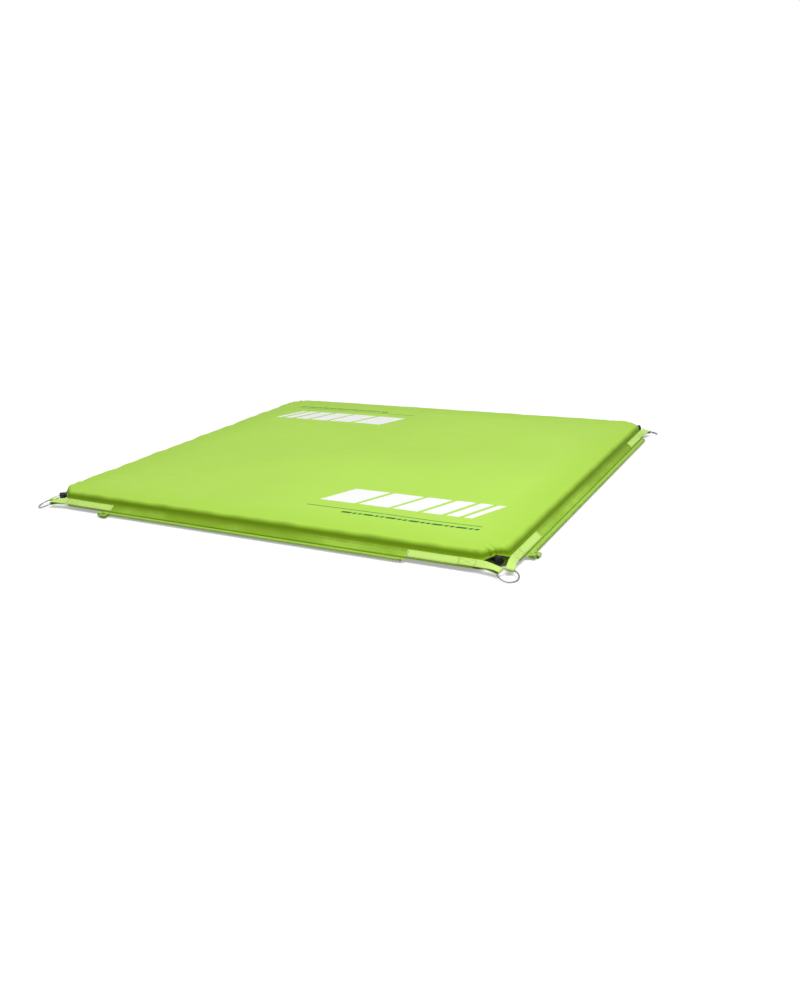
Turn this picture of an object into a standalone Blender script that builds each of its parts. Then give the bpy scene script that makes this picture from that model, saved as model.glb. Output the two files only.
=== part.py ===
"""Square foam floating mat that zips to its neighbours, in metres, standing on the ground.

Two coated sheets are welded together round a foam core. The welded flange carries half a
zip on each side and two webbing straps, whose loops share a steel ring at each corner.
A twist valve sits in the seam of each cut corner.
"""

from math import cos, pi, radians, sin, sqrt, tan

import bmesh
import bpy
from mathutils import Matrix, Vector

OBJECT_NAME = "foam_floating_mat"
QUARTER = pi / 2
EIGHTH = pi / 4
DIAGONAL = sqrt(2)
SIDES = ("front", "right", "back", "left")
CORNERS = ("front_right", "back_right", "back_left", "front_left")

# General
MODULE = 1.5  # between the tooth tips of opposite sides
CLEARANCE = 0.0003  # between pieces that touch
OVERRUN = 0.001  # how far a cutter runs past what it cuts
JOINT_LAP = 0.0002  # how far two shapes of one piece run into each other
MERGE_DISTANCE = 0.00001

# Covers and pad
SHEET = 0.0008
SEAM_HEIGHT = 0.028
WALL_RISE = 0.022  # from the seam up to the top edge
WALL_RUN = 0.018  # how far the rounded wall leans in
CROWN = 0.002
CROWN_EDGE = 0.07  # inset of the line where most of the crown is reached
CROWN_FLAT = 0.26  # inset of the flat middle
CHAMFER = 0.055  # leg of the cut corner, along the seam
FLANGE = 0.024
FLANGE_DROOP = radians(40)
CORNER_LIP = 0.004
WALL_ANGLES = (radians(30), radians(60), radians(90))
SIDE_SHARES = (-1, -0.5, 0, 0.5, 1)
CHAMFER_SHARES = (-0.72, -0.36, 0, 0.36, 0.72)
SHORTEST_CHAMFER_SHARE = 0.25
CROWN_EDGE_SHARE = 0.75
SPREAD_SHARES = (0.5, 0.15, 0)  # of the valve's opening that reaches up the wall

# Foam core
FOAM_GAP = 0.0005
FOAM_CORNER_GAP = 0.0135  # more room behind each valve

# Zip halves
TAPE = 0.0008
TAPE_COVER = 0.014  # how much of the tape is welded under the flange
TAPE_BEND = 0.0015  # from the flange's edge to the tape's bend
TAPE_TAIL = 0.006  # tape past each end of the bead
ZIP_DROOP = radians(10)
BEAD_START = 0.0065
BEAD_WIDTH = 0.003
BEAD_THICKNESS = 0.004
TOOTH_LENGTH = 0.0045
TOOTH_ROOT = 0.0044
TOOTH_END = 0.0032
TOOTH_PITCH = 0.0085
FRONT_BOX_MARGIN = 0.208  # from the seam's corner to the bead, at the box or pin
FRONT_STOP_MARGIN = 0.248
SIDE_BOX_MARGIN = 0.115
SIDE_STOP_MARGIN = 0.098

# Retainer boxes
BOX_GRIP = 0.010  # length of the bead inside
BOX_END = 0.002
BOX_START = 0.0045
BOX_WIDTH = 0.018
BOX_THICKNESS = 0.0064
BOX_CORNER = 0.002
SOCKET_WALL = 0.0016
SOCKET_WIDTH = 0.0028
SOCKET_HEIGHT = 0.0038

# Insertion pins
PIN_LENGTH = 0.024
PIN_WIDTH = 0.0022
PIN_THICKNESS = 0.0032
PIN_NOSE = 0.002
PIN_NOSE_SHARE = 0.4

# Top stops
STOP_LENGTH = 0.005
STOP_WALL = 0.0008

# Sliders
SLIDER_OUT = 0.0162  # middle of the slider, outward from the tape's bend
SLIDER_LENGTH = 0.024
SLIDER_WIDTH = 0.024
SLIDER_PLATE = 0.0016
SLIDER_CHANNEL = 0.0052
SLIDER_RAIL = 0.0018
SLIDER_SLIT = 0.0016
SLIDER_CORNER = 0.002
SLIDER_NOTCH = 0.0025
SLIDER_NOTCH_WIDTH = 0.01
POST_WIDTH = 0.0034
POST_LENGTH = 0.008
POST_POINT_SHARE = 0.5
BRIDGE_LENGTH = 0.01
BRIDGE_WIDTH = 0.004
BRIDGE_HEIGHT = 0.0052
BRIDGE_WINDOW_LENGTH = 0.0065
BRIDGE_WINDOW_HEIGHT = 0.0034
BRIDGE_SLANT_SHARES = (0.7, 0.6)

# Pull tabs
PULL_AXIS_HEIGHT = 0.0014  # above the slider's top plate
PULL_LENGTH = 0.026
PULL_WIDTH = 0.01
PULL_THICKNESS = 0.0016
PULL_BAR = 0.0019
PULL_HOLE_REACH = 0.0072
PULL_HOLE_WIDTH = 0.005
PULL_CORNER = 0.0015
PULL_TAIL_SHARE = 0.76

# Straps
WEBBING_WIDTH = 0.02
WEBBING = 0.0013
STRAP_DOWN = 0.011  # middle of the strap, down the flange from the seam
STRAP_START = 0.24  # inner end, from the seam's corner
STRAP_FREE = 0.058  # where it leaves the flange, from the seam's corner
STRAP_FOLD = 0.106  # end of the part folded back
LOOP_RADIUS = 0.00415
LOOP_STEPS = 6
TAIL_STEPS = 5

# Corner rings
RING_RADIUS = 0.025
RING_WIRE = 0.004
RING_OUT = 0.021  # middle of the ring, past both seam lines
RING_TILT = radians(17)
RING_SEGMENTS = 24
WIRE_SEGMENTS = 8
LOOP_ANGLE = radians(215)

# Valves
VALVE_HALF_HEIGHT = 0.0062
VALVE_INNER = 0.012
VALVE_OUTER = 0.006
STEM_RADIUS = 0.0065
STEM_END = 0.02
BORE_RADIUS = 0.004
SEAL_RADIUS = 0.0063
SEAL_THICKNESS = 0.002
SPIGOT_RADIUS = 0.0036
SPIGOT_LENGTH = 0.0063
KNOB_START = 0.01
KNOB_END = 0.026
KNOB_RADIUS = 0.011
KNOB_GROOVE = 0.0008
KNOB_RIBS = 12
KNOB_FIT = 0.0004
TURN_SEGMENTS = 24

# Worked out from the sizes above
HALF_GAP = CLEARANCE / 2
FLANGE_RUN = FLANGE * cos(FLANGE_DROOP)
TAPE_DEPTH = HALF_GAP + SHEET + CLEARANCE + TAPE / 2
BEND_DOWN = FLANGE + TAPE_BEND
ZIP_OUT = BEND_DOWN * cos(FLANGE_DROOP) - TAPE_DEPTH * sin(FLANGE_DROOP)
ZIP_HEIGHT = SEAM_HEIGHT - BEND_DOWN * sin(FLANGE_DROOP) - TAPE_DEPTH * cos(FLANGE_DROOP)
BEAD_MIDDLE = BEAD_START + BEAD_WIDTH / 2
BEAD_END = BEAD_START + BEAD_WIDTH
TOOTH_TIP = BEAD_END + TOOTH_LENGTH
HALF_SEAM = MODULE / 2 - ZIP_OUT - TOOTH_TIP * cos(ZIP_DROOP)
VALVE_HALF_LENGTH = CHAMFER_SHARES[-1] * CHAMFER / DIAGONAL
SLIDER_TOP = SLIDER_CHANNEL / 2 + SLIDER_PLATE
LOOP_SHIFT = (RING_RADIUS - sqrt(RING_RADIUS**2 - (WEBBING_WIDTH / 2) ** 2)) / 2
RING_HEIGHT = RING_RADIUS * sin(RING_TILT) + RING_WIRE / 2 + CLEARANCE
KNOB_CAVITY_END = STEM_END + CLEARANCE + SEAL_THICKNESS + CLEARANCE


def clear_scene():
    for obj in list(bpy.data.objects):
        bpy.data.objects.remove(obj)


def new_collection(name):
    collection = bpy.data.collections.new(name)
    bpy.context.scene.collection.children.link(collection)
    return collection


def material(name, colour, roughness, metallic=0.0):
    result = bpy.data.materials.new(name)
    result.use_nodes = True
    shader = result.node_tree.nodes["Principled BSDF"]
    shader.inputs["Base Color"].default_value = (*colour, 1)
    shader.inputs["Roughness"].default_value = roughness
    shader.inputs["Metallic"].default_value = metallic
    return result


def add_piece(name, mesh, frame, finish):
    """Adds one sub-part, smooth but for its sharp edges."""
    mesh.materials.append(finish)
    mesh.shade_smooth()
    mesh.set_sharp_from_angle(angle=radians(35))
    piece = bpy.data.objects.new(name, mesh)
    piece.matrix_world = frame
    pieces.objects.link(piece)
    return piece


def add_cutter(name, mesh, frame):
    """Adds a shape that cuts or joins another and isn't a piece itself."""
    cutter = bpy.data.objects.new(name, mesh)
    cutter.matrix_world = frame
    cutter.hide_render = True
    cutter.display_type = "WIRE"
    cutters.objects.link(cutter)
    return cutter


def combine(piece, operand, operation):
    modifier = piece.modifiers.new(operand.name, "BOOLEAN")
    modifier.operation = operation
    modifier.solver = "EXACT"
    modifier.object = operand


def close_mesh(mesh):
    shape = bmesh.new()
    shape.from_mesh(mesh)
    bmesh.ops.remove_doubles(shape, verts=shape.verts, dist=MERGE_DISTANCE)
    bmesh.ops.recalc_face_normals(shape, faces=shape.faces)
    shape.to_mesh(mesh)
    shape.free()
    return mesh


def plate_mesh(name, outlines, thickness):
    """Flat outlines, the second and later ones being holes, extruded to both sides."""
    curve = bpy.data.curves.new(name, "CURVE")
    curve.dimensions = "2D"
    curve.fill_mode = "BOTH"
    curve.extrude = thickness / 2
    for outline in outlines:
        spline = curve.splines.new("POLY")
        spline.points.add(len(outline) - 1)
        for point, (x, y) in zip(spline.points, outline):
            point.co = (x, y, 0, 1)
        spline.use_cyclic_u = True
    drawing = bpy.data.objects.new(name, curve)
    bpy.context.scene.collection.objects.link(drawing)
    evaluated = drawing.evaluated_get(bpy.context.evaluated_depsgraph_get())
    mesh = bpy.data.meshes.new_from_object(evaluated)
    bpy.data.objects.remove(drawing)
    return close_mesh(mesh)


def block_mesh(name, low, high):
    mesh = bpy.data.meshes.new(name)
    shape = bmesh.new()
    bmesh.ops.create_cube(shape, size=1)
    size = [high[axis] - low[axis] for axis in range(3)]
    middle = [(high[axis] + low[axis]) / 2 for axis in range(3)]
    shape.transform(Matrix.Translation(middle) @ Matrix.Diagonal((*size, 1)))
    shape.to_mesh(mesh)
    shape.free()
    return mesh


def rod_mesh(name, radius, start, end):
    """A round rod along its own X axis."""
    mesh = bpy.data.meshes.new(name)
    shape = bmesh.new()
    place = Matrix.Translation(((start + end) / 2, 0, 0)) @ Matrix.Rotation(QUARTER, 4, "Y")
    bmesh.ops.create_cone(
        shape,
        cap_ends=True,
        segments=TURN_SEGMENTS,
        radius1=radius,
        radius2=radius,
        depth=end - start,
        matrix=place,
    )
    shape.to_mesh(mesh)
    shape.free()
    return mesh


def loft_mesh(name, rings):
    """Joins closed rings of equal counts in turn, and caps the first and the last."""
    mesh = bpy.data.meshes.new(name)
    shape = bmesh.new()
    rows = [[shape.verts.new(point) for point in ring] for ring in rings]
    for row, following in zip(rows, rows[1:]):
        for first in range(len(row)):
            second = (first + 1) % len(row)
            shape.faces.new((row[first], row[second], following[second], following[first]))
    shape.faces.new(reversed(rows[0]))
    shape.faces.new(rows[-1])
    bmesh.ops.recalc_face_normals(shape, faces=shape.faces)
    bmesh.ops.triangulate(shape, faces=shape.faces, quad_method="SHORT_EDGE")
    shape.to_mesh(mesh)
    shape.free()
    return mesh


def turn_to_side(side):
    return Matrix.Rotation(side * QUARTER, 4, "Z")


def zip_frame(side):
    """X along the side, Y inward up the slope of the tape, Z square to it."""
    place = Matrix.Translation((0, -(HALF_SEAM + ZIP_OUT), ZIP_HEIGHT))
    return turn_to_side(side) @ place @ Matrix.Rotation(ZIP_DROOP, 4, "X")


def valve_frame(corner):
    """X outward along the corner's diagonal, from the middle of the chamfer's seam."""
    place = Matrix.Translation((DIAGONAL * (HALF_SEAM - CHAMFER / 2), 0, SEAM_HEIGHT))
    return turn_to_side(corner) @ Matrix.Rotation(-EIGHTH, 4, "Z") @ place


def ring_frame(corner):
    """Middle of the corner ring, X outward and down in its plane, Z square to it."""
    place = Matrix.Translation((DIAGONAL * (HALF_SEAM + RING_OUT), 0, RING_HEIGHT))
    turn = turn_to_side(corner) @ Matrix.Rotation(-EIGHTH, 4, "Z")
    return turn @ place @ Matrix.Rotation(RING_TILT, 4, "Y")


def flange_frame():
    """Front side: X along the side, Y inward up the slope of the flange, Z square to it."""
    place = Matrix.Translation((0, -HALF_SEAM, SEAM_HEIGHT))
    return place @ Matrix.Rotation(FLANGE_DROOP, 4, "X")


def valve_opening(share):
    """Half the height by which the valve parts the two sheets, along the chamfer."""
    return VALVE_HALF_HEIGHT * max(0, 1 - (share / CHAMFER_SHARES[-1]) ** 2)


def outline_ring(out, corner_out, lift, corner_lift, spread_share=0):
    """One closed line round the mat, out from the seam line and lifted from its height."""
    shortest = CHAMFER * SHORTEST_CHAMFER_SHARE
    leg = max(CHAMFER - DIAGONAL * corner_out + 2 * out, shortest)
    half = HALF_SEAM + out
    points = []
    for side in range(4):
        turn = turn_to_side(side)
        sag = max(0, out) * tan(FLANGE_DROOP)
        for share in SIDE_SHARES:
            points.append(turn @ Vector((share * (half - leg), -half, SEAM_HEIGHT - sag + lift)))
        for share in CHAMFER_SHARES:
            along = leg * (1 + share) / 2
            past_seam = max(0, out - along, out - leg + along)
            sag = past_seam * tan(FLANGE_DROOP)
            height = SEAM_HEIGHT - sag + corner_lift + spread_share * valve_opening(share)
            points.append(turn @ Vector((half - leg + along, -half + along, height)))
    return points


def wall_ring(angle, rise, depth, spread_share, corner_gap=0):
    """A line on the rounded wall, depth in from its outer face. A negative rise goes down."""
    out = -(WALL_RUN - (WALL_RUN - depth) * cos(angle))
    lift = (rise - depth) * sin(angle) if rise > 0 else (rise + depth) * sin(angle)
    return outline_ring(out, out - corner_gap, lift, lift, spread_share)


def crown_rings(depth, corner_gap=0):
    """The two lines that carry the crown of the top."""
    edge = WALL_RISE + CROWN * CROWN_EDGE_SHARE - depth
    flat = WALL_RISE + CROWN - depth
    return [
        outline_ring(-CROWN_EDGE, -CROWN_EDGE - corner_gap, edge, edge),
        outline_ring(-CROWN_FLAT, -CROWN_FLAT - corner_gap, flat, flat),
    ]


def flange_rings(side, depth):
    """The flange of one sheet, edge first. Side is 1 for the top sheet and -1 for the other."""
    offset = side * (HALF_GAP + depth)
    lift = offset / cos(FLANGE_DROOP)
    edge = outline_ring(FLANGE_RUN, CORNER_LIP, lift, offset, side)
    if depth > 0:
        return [edge, outline_ring(0, 0, lift, offset, side)]
    root_lift = lift + SHEET * tan(FLANGE_DROOP)
    return [edge, outline_ring(-SHEET, -SHEET, root_lift, offset, side)]


def build_top_cover():
    walls = list(zip(WALL_ANGLES, SPREAD_SHARES))
    outside = flange_rings(1, SHEET)
    outside += [wall_ring(angle, WALL_RISE, 0, spread) for angle, spread in walls]
    outside += crown_rings(0)
    inside = flange_rings(1, 0)
    inside += [wall_ring(angle, WALL_RISE, SHEET, spread) for angle, spread in walls]
    inside += crown_rings(SHEET)
    mesh = loft_mesh("top_cover", inside[::-1] + outside)
    add_piece("top_cover", mesh, Matrix.Identity(4), cover_fabric)


def build_bottom_cover():
    walls = list(zip(WALL_ANGLES, SPREAD_SHARES))
    outside = flange_rings(-1, SHEET)
    outside += [wall_ring(angle, -SEAM_HEIGHT, 0, -spread) for angle, spread in walls]
    inside = flange_rings(-1, 0)
    inside += [wall_ring(angle, -SEAM_HEIGHT, SHEET, -spread) for angle, spread in walls]
    mesh = loft_mesh("bottom_cover", inside[::-1] + outside)
    add_piece("bottom_cover", mesh, Matrix.Identity(4), cover_fabric)


def build_foam_core():
    depth = SHEET + FOAM_GAP
    lower = [wall_ring(angle, -SEAM_HEIGHT, depth, 0, FOAM_CORNER_GAP) for angle in WALL_ANGLES]
    middle = outline_ring(-depth, -depth - FOAM_CORNER_GAP, 0, 0)
    upper = [wall_ring(angle, WALL_RISE, depth, 0, FOAM_CORNER_GAP) for angle in WALL_ANGLES]
    rings = lower[::-1] + [middle] + upper + crown_rings(depth, FOAM_CORNER_GAP)
    add_piece("foam_core", loft_mesh("foam_core", rings), Matrix.Identity(4), foam)


def zip_run(side):
    """Where the bead starts at its box or pin, its direction along X, and its length."""
    box_margin = SIDE_BOX_MARGIN if side % 2 else FRONT_BOX_MARGIN
    stop_margin = SIDE_STOP_MARGIN if side % 2 else FRONT_STOP_MARGIN
    length = 2 * HALF_SEAM - box_margin - stop_margin
    direction = 1 if side < 2 else -1
    return direction * (box_margin - HALF_SEAM), direction, length


def tape_section():
    """The tape's bent section, from the bend to both sides, in the zip frame's Y and Z."""
    bend = FLANGE_DROOP - ZIP_DROOP
    half = TAPE / 2
    reach = TAPE_COVER + TAPE_BEND
    miter = half * tan(bend / 2)
    return [
        (-BEAD_MIDDLE, half),
        (-miter, half),
        (reach * cos(bend) - half * sin(bend), reach * sin(bend) + half * cos(bend)),
        (reach * cos(bend) + half * sin(bend), reach * sin(bend) - half * cos(bend)),
        (miter, -half),
        (-BEAD_MIDDLE, -half),
    ]


def build_zip_half(side):
    """Moulded bead and teeth in one piece with the woven tape."""
    start, direction, length = zip_run(side)
    plain = BOX_GRIP if side < 2 else PIN_LENGTH
    room = length - plain - STOP_LENGTH
    count = int(room / TOOTH_PITCH)
    first = plain + (room - count * TOOTH_PITCH + TOOTH_PITCH) / 2
    outline = [(start, -BEAD_START), (start, -BEAD_END)]
    for tooth in range(count):
        middle = first + tooth * TOOTH_PITCH
        corners = ((-TOOTH_ROOT, BEAD_END), (-TOOTH_END, TOOTH_TIP))
        corners += ((TOOTH_END, TOOTH_TIP), (TOOTH_ROOT, BEAD_END))
        for width, reach in corners:
            outline.append((start + direction * (middle + width / 2), -reach))
    outline.append((start + direction * length, -BEAD_END))
    outline.append((start + direction * length, -BEAD_START))
    name = f"zip_half_{SIDES[side]}"
    faces = (-BEAD_THICKNESS / 2, BEAD_THICKNESS / 2)
    comb = loft_mesh(name, [[Vector((x, y, z)) for x, y in outline] for z in faces])
    teeth = add_piece(name, comb, zip_frame(side), zip_plastic)
    ends = (start - direction * TAPE_TAIL, start + direction * (length + TAPE_TAIL))
    sections = [[Vector((x, y, z)) for y, z in tape_section()] for x in ends]
    tape = add_cutter(f"{name}_tape", loft_mesh(f"{name}_tape", sections), zip_frame(side))
    combine(teeth, tape, "UNION")


def bead_cutters(name, side, bead_ends, tape_ends):
    """Room for the bead and its tape in the piece that grips them."""
    half = BEAD_THICKNESS / 2 + CLEARANCE
    near = CLEARANCE - BEAD_START
    far = -BEAD_END - CLEARANCE
    bead = block_mesh(f"{name}_bead", (bead_ends[0], far, -half), (bead_ends[1], near, half))
    slit = TAPE / 2 + CLEARANCE
    tape_far = -BEAD_MIDDLE - CLEARANCE
    tape = block_mesh(f"{name}_slit", (tape_ends[0], tape_far, -slit), (tape_ends[1], 0, slit))
    frame = zip_frame(side)
    return add_cutter(f"{name}_bead", bead, frame), add_cutter(f"{name}_slit", tape, frame)


def build_retainer_box(side):
    """Box at the zip's start: it grips the bead and has a socket for the other half's pin."""
    start = zip_run(side)[0]
    low = start - BOX_END
    high = start + BOX_GRIP
    near = -BOX_START
    far = near - BOX_WIDTH
    outline = [
        (high, near),
        (low + BOX_CORNER, near),
        (low, near - BOX_CORNER),
        (low, far + BOX_CORNER),
        (low + BOX_CORNER, far),
        (high, far),
    ]
    name = f"retainer_box_{SIDES[side]}"
    box = add_piece(name, plate_mesh(name, [outline], BOX_THICKNESS), zip_frame(side), zip_plastic)
    past = (low - OVERRUN, high + OVERRUN)
    for cutter in bead_cutters(name, side, (start - CLEARANCE, high + OVERRUN), past):
        combine(box, cutter, "DIFFERENCE")
    socket_near = -BEAD_END - CLEARANCE - SOCKET_WALL
    socket_low = (start, socket_near - SOCKET_WIDTH, -SOCKET_HEIGHT / 2)
    socket_high = (high + OVERRUN, socket_near, SOCKET_HEIGHT / 2)
    socket = block_mesh(f"{name}_socket", socket_low, socket_high)
    combine(box, add_cutter(f"{name}_socket", socket, zip_frame(side)), "DIFFERENCE")


def build_insertion_pin(side):
    """Rod along the first bead length, with a tapered nose that enters the other's box."""
    start, direction, _ = zip_run(side)
    near = -BEAD_END - CLEARANCE
    far = near - PIN_WIDTH
    middle = (near + far) / 2
    nose = PIN_WIDTH * PIN_NOSE_SHARE / 2
    outline = [
        (start + direction * PIN_LENGTH, near),
        (start, near),
        (start - direction * PIN_NOSE, middle + nose),
        (start - direction * PIN_NOSE, middle - nose),
        (start, far),
        (start + direction * PIN_LENGTH, far),
    ]
    name = f"insertion_pin_{SIDES[side]}"
    add_piece(name, plate_mesh(name, [outline], PIN_THICKNESS), zip_frame(side), zip_plastic)


def build_top_stop(side):
    """Clamp round the bead's far end, where the slider has to stop."""
    start, direction, length = zip_run(side)
    ends = sorted((start + direction * length, start + direction * (length - STOP_LENGTH)))
    grip = CLEARANCE + STOP_WALL
    half = BEAD_THICKNESS / 2 + grip
    name = f"top_stop_{SIDES[side]}"
    low = (ends[0], -BEAD_END - grip, -half)
    high = (ends[1], -BEAD_START + grip, half)
    stop = add_piece(name, block_mesh(name, low, high), zip_frame(side), zip_plastic)
    past = (ends[0] - OVERRUN, ends[1] + OVERRUN)
    for cutter in bead_cutters(name, side, past, past):
        combine(stop, cutter, "DIFFERENCE")


def slider_frame(side):
    """Middle of the slider, parked against the retainer box."""
    rest = zip_run(side)[0] + BOX_GRIP + CLEARANCE + SLIDER_LENGTH / 2
    return zip_frame(side) @ Matrix.Translation((rest, -SLIDER_OUT, 0))


def build_slider(side):
    """Two plates joined by a wedge at the nose, with rails that hold both beads."""
    name = f"slider_{SIDES[side]}"
    frame = slider_frame(side)
    end = SLIDER_LENGTH / 2
    half = SLIDER_WIDTH / 2
    notch = SLIDER_NOTCH_WIDTH / 2
    outline = [
        (-end, half - SLIDER_CORNER),
        (-end, SLIDER_CORNER - half),
        (SLIDER_CORNER - end, -half),
        (end - SLIDER_CORNER, -half),
        (end, SLIDER_CORNER - half),
        (end, -notch),
        (end - SLIDER_NOTCH, 0),
        (end, notch),
        (end, half - SLIDER_CORNER),
        (end - SLIDER_CORNER, half),
        (SLIDER_CORNER - end, half),
    ]
    slider = add_piece(name, plate_mesh(name, [outline], 2 * SLIDER_TOP), frame, slider_metal)
    past = end + OVERRUN
    rail = half - SLIDER_RAIL
    channel = SLIDER_CHANNEL / 2
    channel_mesh = block_mesh(f"{name}_channel", (-past, -rail, -channel), (past, rail, channel))
    combine(slider, add_cutter(f"{name}_channel", channel_mesh, frame), "DIFFERENCE")
    slit = SLIDER_SLIT / 2
    side_past = half + OVERRUN
    slit_mesh = block_mesh(f"{name}_slit", (-past, -side_past, -slit), (past, side_past, slit))
    combine(slider, add_cutter(f"{name}_slit", slit_mesh, frame), "DIFFERENCE")
    post_end = end - SLIDER_NOTCH - JOINT_LAP
    post_start = post_end - POST_LENGTH
    shoulder = post_start + POST_LENGTH * POST_POINT_SHARE
    post_half = POST_WIDTH / 2
    wedge = [
        (post_start, 0),
        (shoulder, -post_half),
        (post_end, -post_half),
        (post_end, post_half),
        (shoulder, post_half),
    ]
    post = plate_mesh(f"{name}_post", [wedge], SLIDER_CHANNEL + 2 * JOINT_LAP)
    combine(slider, add_cutter(f"{name}_post", post, frame), "UNION")
    bridge = bridge_mesh(f"{name}_bridge")
    upright = frame @ Matrix.Rotation(QUARTER, 4, "X")
    combine(slider, add_cutter(f"{name}_bridge", bridge, upright), "UNION")


def bridge_mesh(name):
    """The arch that the pull tab hangs in."""
    foot = SLIDER_TOP - JOINT_LAP
    top = SLIDER_TOP + BRIDGE_HEIGHT
    half = BRIDGE_LENGTH / 2
    window = BRIDGE_WINDOW_LENGTH / 2
    window_top = SLIDER_TOP + BRIDGE_WINDOW_HEIGHT
    along, up = BRIDGE_SLANT_SHARES
    arch = [
        (-half, foot),
        (-window, foot),
        (-window, window_top),
        (window, window_top),
        (window, foot),
        (half, foot),
        (half, SLIDER_TOP + BRIDGE_HEIGHT * up),
        (half * along, top),
        (-half * along, top),
        (-half, SLIDER_TOP + BRIDGE_HEIGHT * up),
    ]
    return plate_mesh(name, [arch], BRIDGE_WIDTH)


def build_pull_tab(side):
    """Flat tab whose end bar turns in the slider's bridge."""
    frame = slider_frame(side) @ Matrix.Translation((0, 0, SLIDER_TOP + PULL_AXIS_HEIGHT))
    bar = PULL_BAR / 2
    half = PULL_WIDTH / 2
    tail = half * PULL_TAIL_SHARE
    outline = [
        (bar, half - PULL_CORNER),
        (bar - PULL_CORNER, half),
        (-PULL_HOLE_REACH, half),
        (PULL_CORNER - PULL_LENGTH, tail),
        (-PULL_LENGTH, tail - PULL_CORNER),
        (-PULL_LENGTH, PULL_CORNER - tail),
        (PULL_CORNER - PULL_LENGTH, -tail),
        (-PULL_HOLE_REACH, -half),
        (bar - PULL_CORNER, -half),
        (bar, PULL_CORNER - half),
    ]
    hole_half = PULL_HOLE_WIDTH / 2
    hole = [
        (-bar, -hole_half),
        (-PULL_HOLE_REACH, -hole_half),
        (-PULL_HOLE_REACH, hole_half),
        (-bar, hole_half),
    ]
    name = f"pull_tab_{SIDES[side]}"
    add_piece(name, plate_mesh(name, [outline, hole], PULL_THICKNESS), frame, slider_metal)


def tail_stations():
    """Middle line of the two free layers: place, width and normal, from flange to ring."""
    flange = flange_frame()
    ring = ring_frame(0)
    turn = ring.to_3x3()
    radial = Vector((cos(LOOP_ANGLE), sin(LOOP_ANGLE), 0))
    layers = HALF_GAP + SHEET + CLEARANCE + WEBBING + CLEARANCE / 2
    start = flange @ Vector((HALF_SEAM - STRAP_FREE, -STRAP_DOWN, layers))
    end = ring @ (radial * (RING_RADIUS - LOOP_SHIFT))
    start_way = Vector((1, 0, 0))
    end_way = turn @ -radial
    start_normal = flange.to_3x3() @ Vector((0, 0, 1))
    end_normal = turn @ Vector((0, 0, 1))
    reach = (end - start).length
    stations = []
    for step in range(TAIL_STEPS + 1):
        share = step / TAIL_STEPS
        ease = share * share * (3 - 2 * share)
        place = start.lerp(end, ease)
        place += start_way * reach * share * (1 - share) ** 2
        place -= end_way * reach * share**2 * (1 - share)
        way = start_way.lerp(end_way, ease)
        normal = start_normal.lerp(end_normal, ease)
        width = normal.cross(way).normalized()
        normal = way.cross(width).normalized()
        stations.append((place, width, normal, ease))
    return stations, end_way


def strap_path():
    """Stations of the webbing from its inner end, round the ring and back: place, width, out."""
    stations, end_way = tail_stations()
    flat_gap = (WEBBING + CLEARANCE) / 2
    start, width, normal, _ = stations[0]
    along = Vector((1, 0, 0))
    inner = start - along * (STRAP_START - STRAP_FREE)
    fold = start - along * (STRAP_FOLD - STRAP_FREE)
    path = [(inner - normal * flat_gap, width, -normal)]
    for place, across, up, ease in stations:
        gap = flat_gap + (LOOP_RADIUS - flat_gap) * ease
        path.append((place - up * gap, across, -up))
    middle, across, up, _ = stations[-1]
    for step in range(1, LOOP_STEPS):
        angle = pi * step / LOOP_STEPS - QUARTER
        out = end_way * cos(angle) + up * sin(angle)
        path.append((middle + out * LOOP_RADIUS, across, out))
    for place, across, up, ease in reversed(stations):
        gap = flat_gap + (LOOP_RADIUS - flat_gap) * ease
        path.append((place + up * gap, across, up))
    path.append((fold + normal * flat_gap, width, normal))
    return path


def build_straps(corner):
    """The corner's two straps, the second being the first seen in the diagonal's mirror."""
    second_side = (corner + 1) % 4
    names = (
        f"strap_{SIDES[corner]}_{SIDES[second_side]}",
        f"strap_{SIDES[second_side]}_{SIDES[corner]}",
    )
    mirror = Matrix(((0, -1, 0), (-1, 0, 0), (0, 0, 1)))
    for name, flip in zip(names, (Matrix.Identity(3), mirror)):
        sections = []
        for place, across, out in strap_path():
            wide = across * WEBBING_WIDTH / 2
            thick = out * WEBBING / 2
            corners = (place - wide - thick, place + wide - thick)
            corners += (place + wide + thick, place - wide + thick)
            sections.append([flip @ point for point in corners])
        add_piece(name, loft_mesh(name, sections), turn_to_side(corner), webbing)


def ring_hinge():
    """How far behind its middle the ring turns, on the line through both loops."""
    return RING_RADIUS * cos(LOOP_ANGLE)


def build_ring(corner):
    bpy.ops.mesh.primitive_torus_add(
        major_segments=RING_SEGMENTS,
        minor_segments=WIRE_SEGMENTS,
        major_radius=RING_RADIUS,
        minor_radius=RING_WIRE / 2,
    )
    torus = bpy.context.object
    mesh = torus.data
    bpy.data.objects.remove(torus)
    mesh.transform(Matrix.Translation((-ring_hinge(), 0, 0)))
    hinge = ring_frame(corner) @ Matrix.Translation((ring_hinge(), 0, 0))
    add_piece(f"corner_ring_{CORNERS[corner]}", mesh, hinge, steel)


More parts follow.
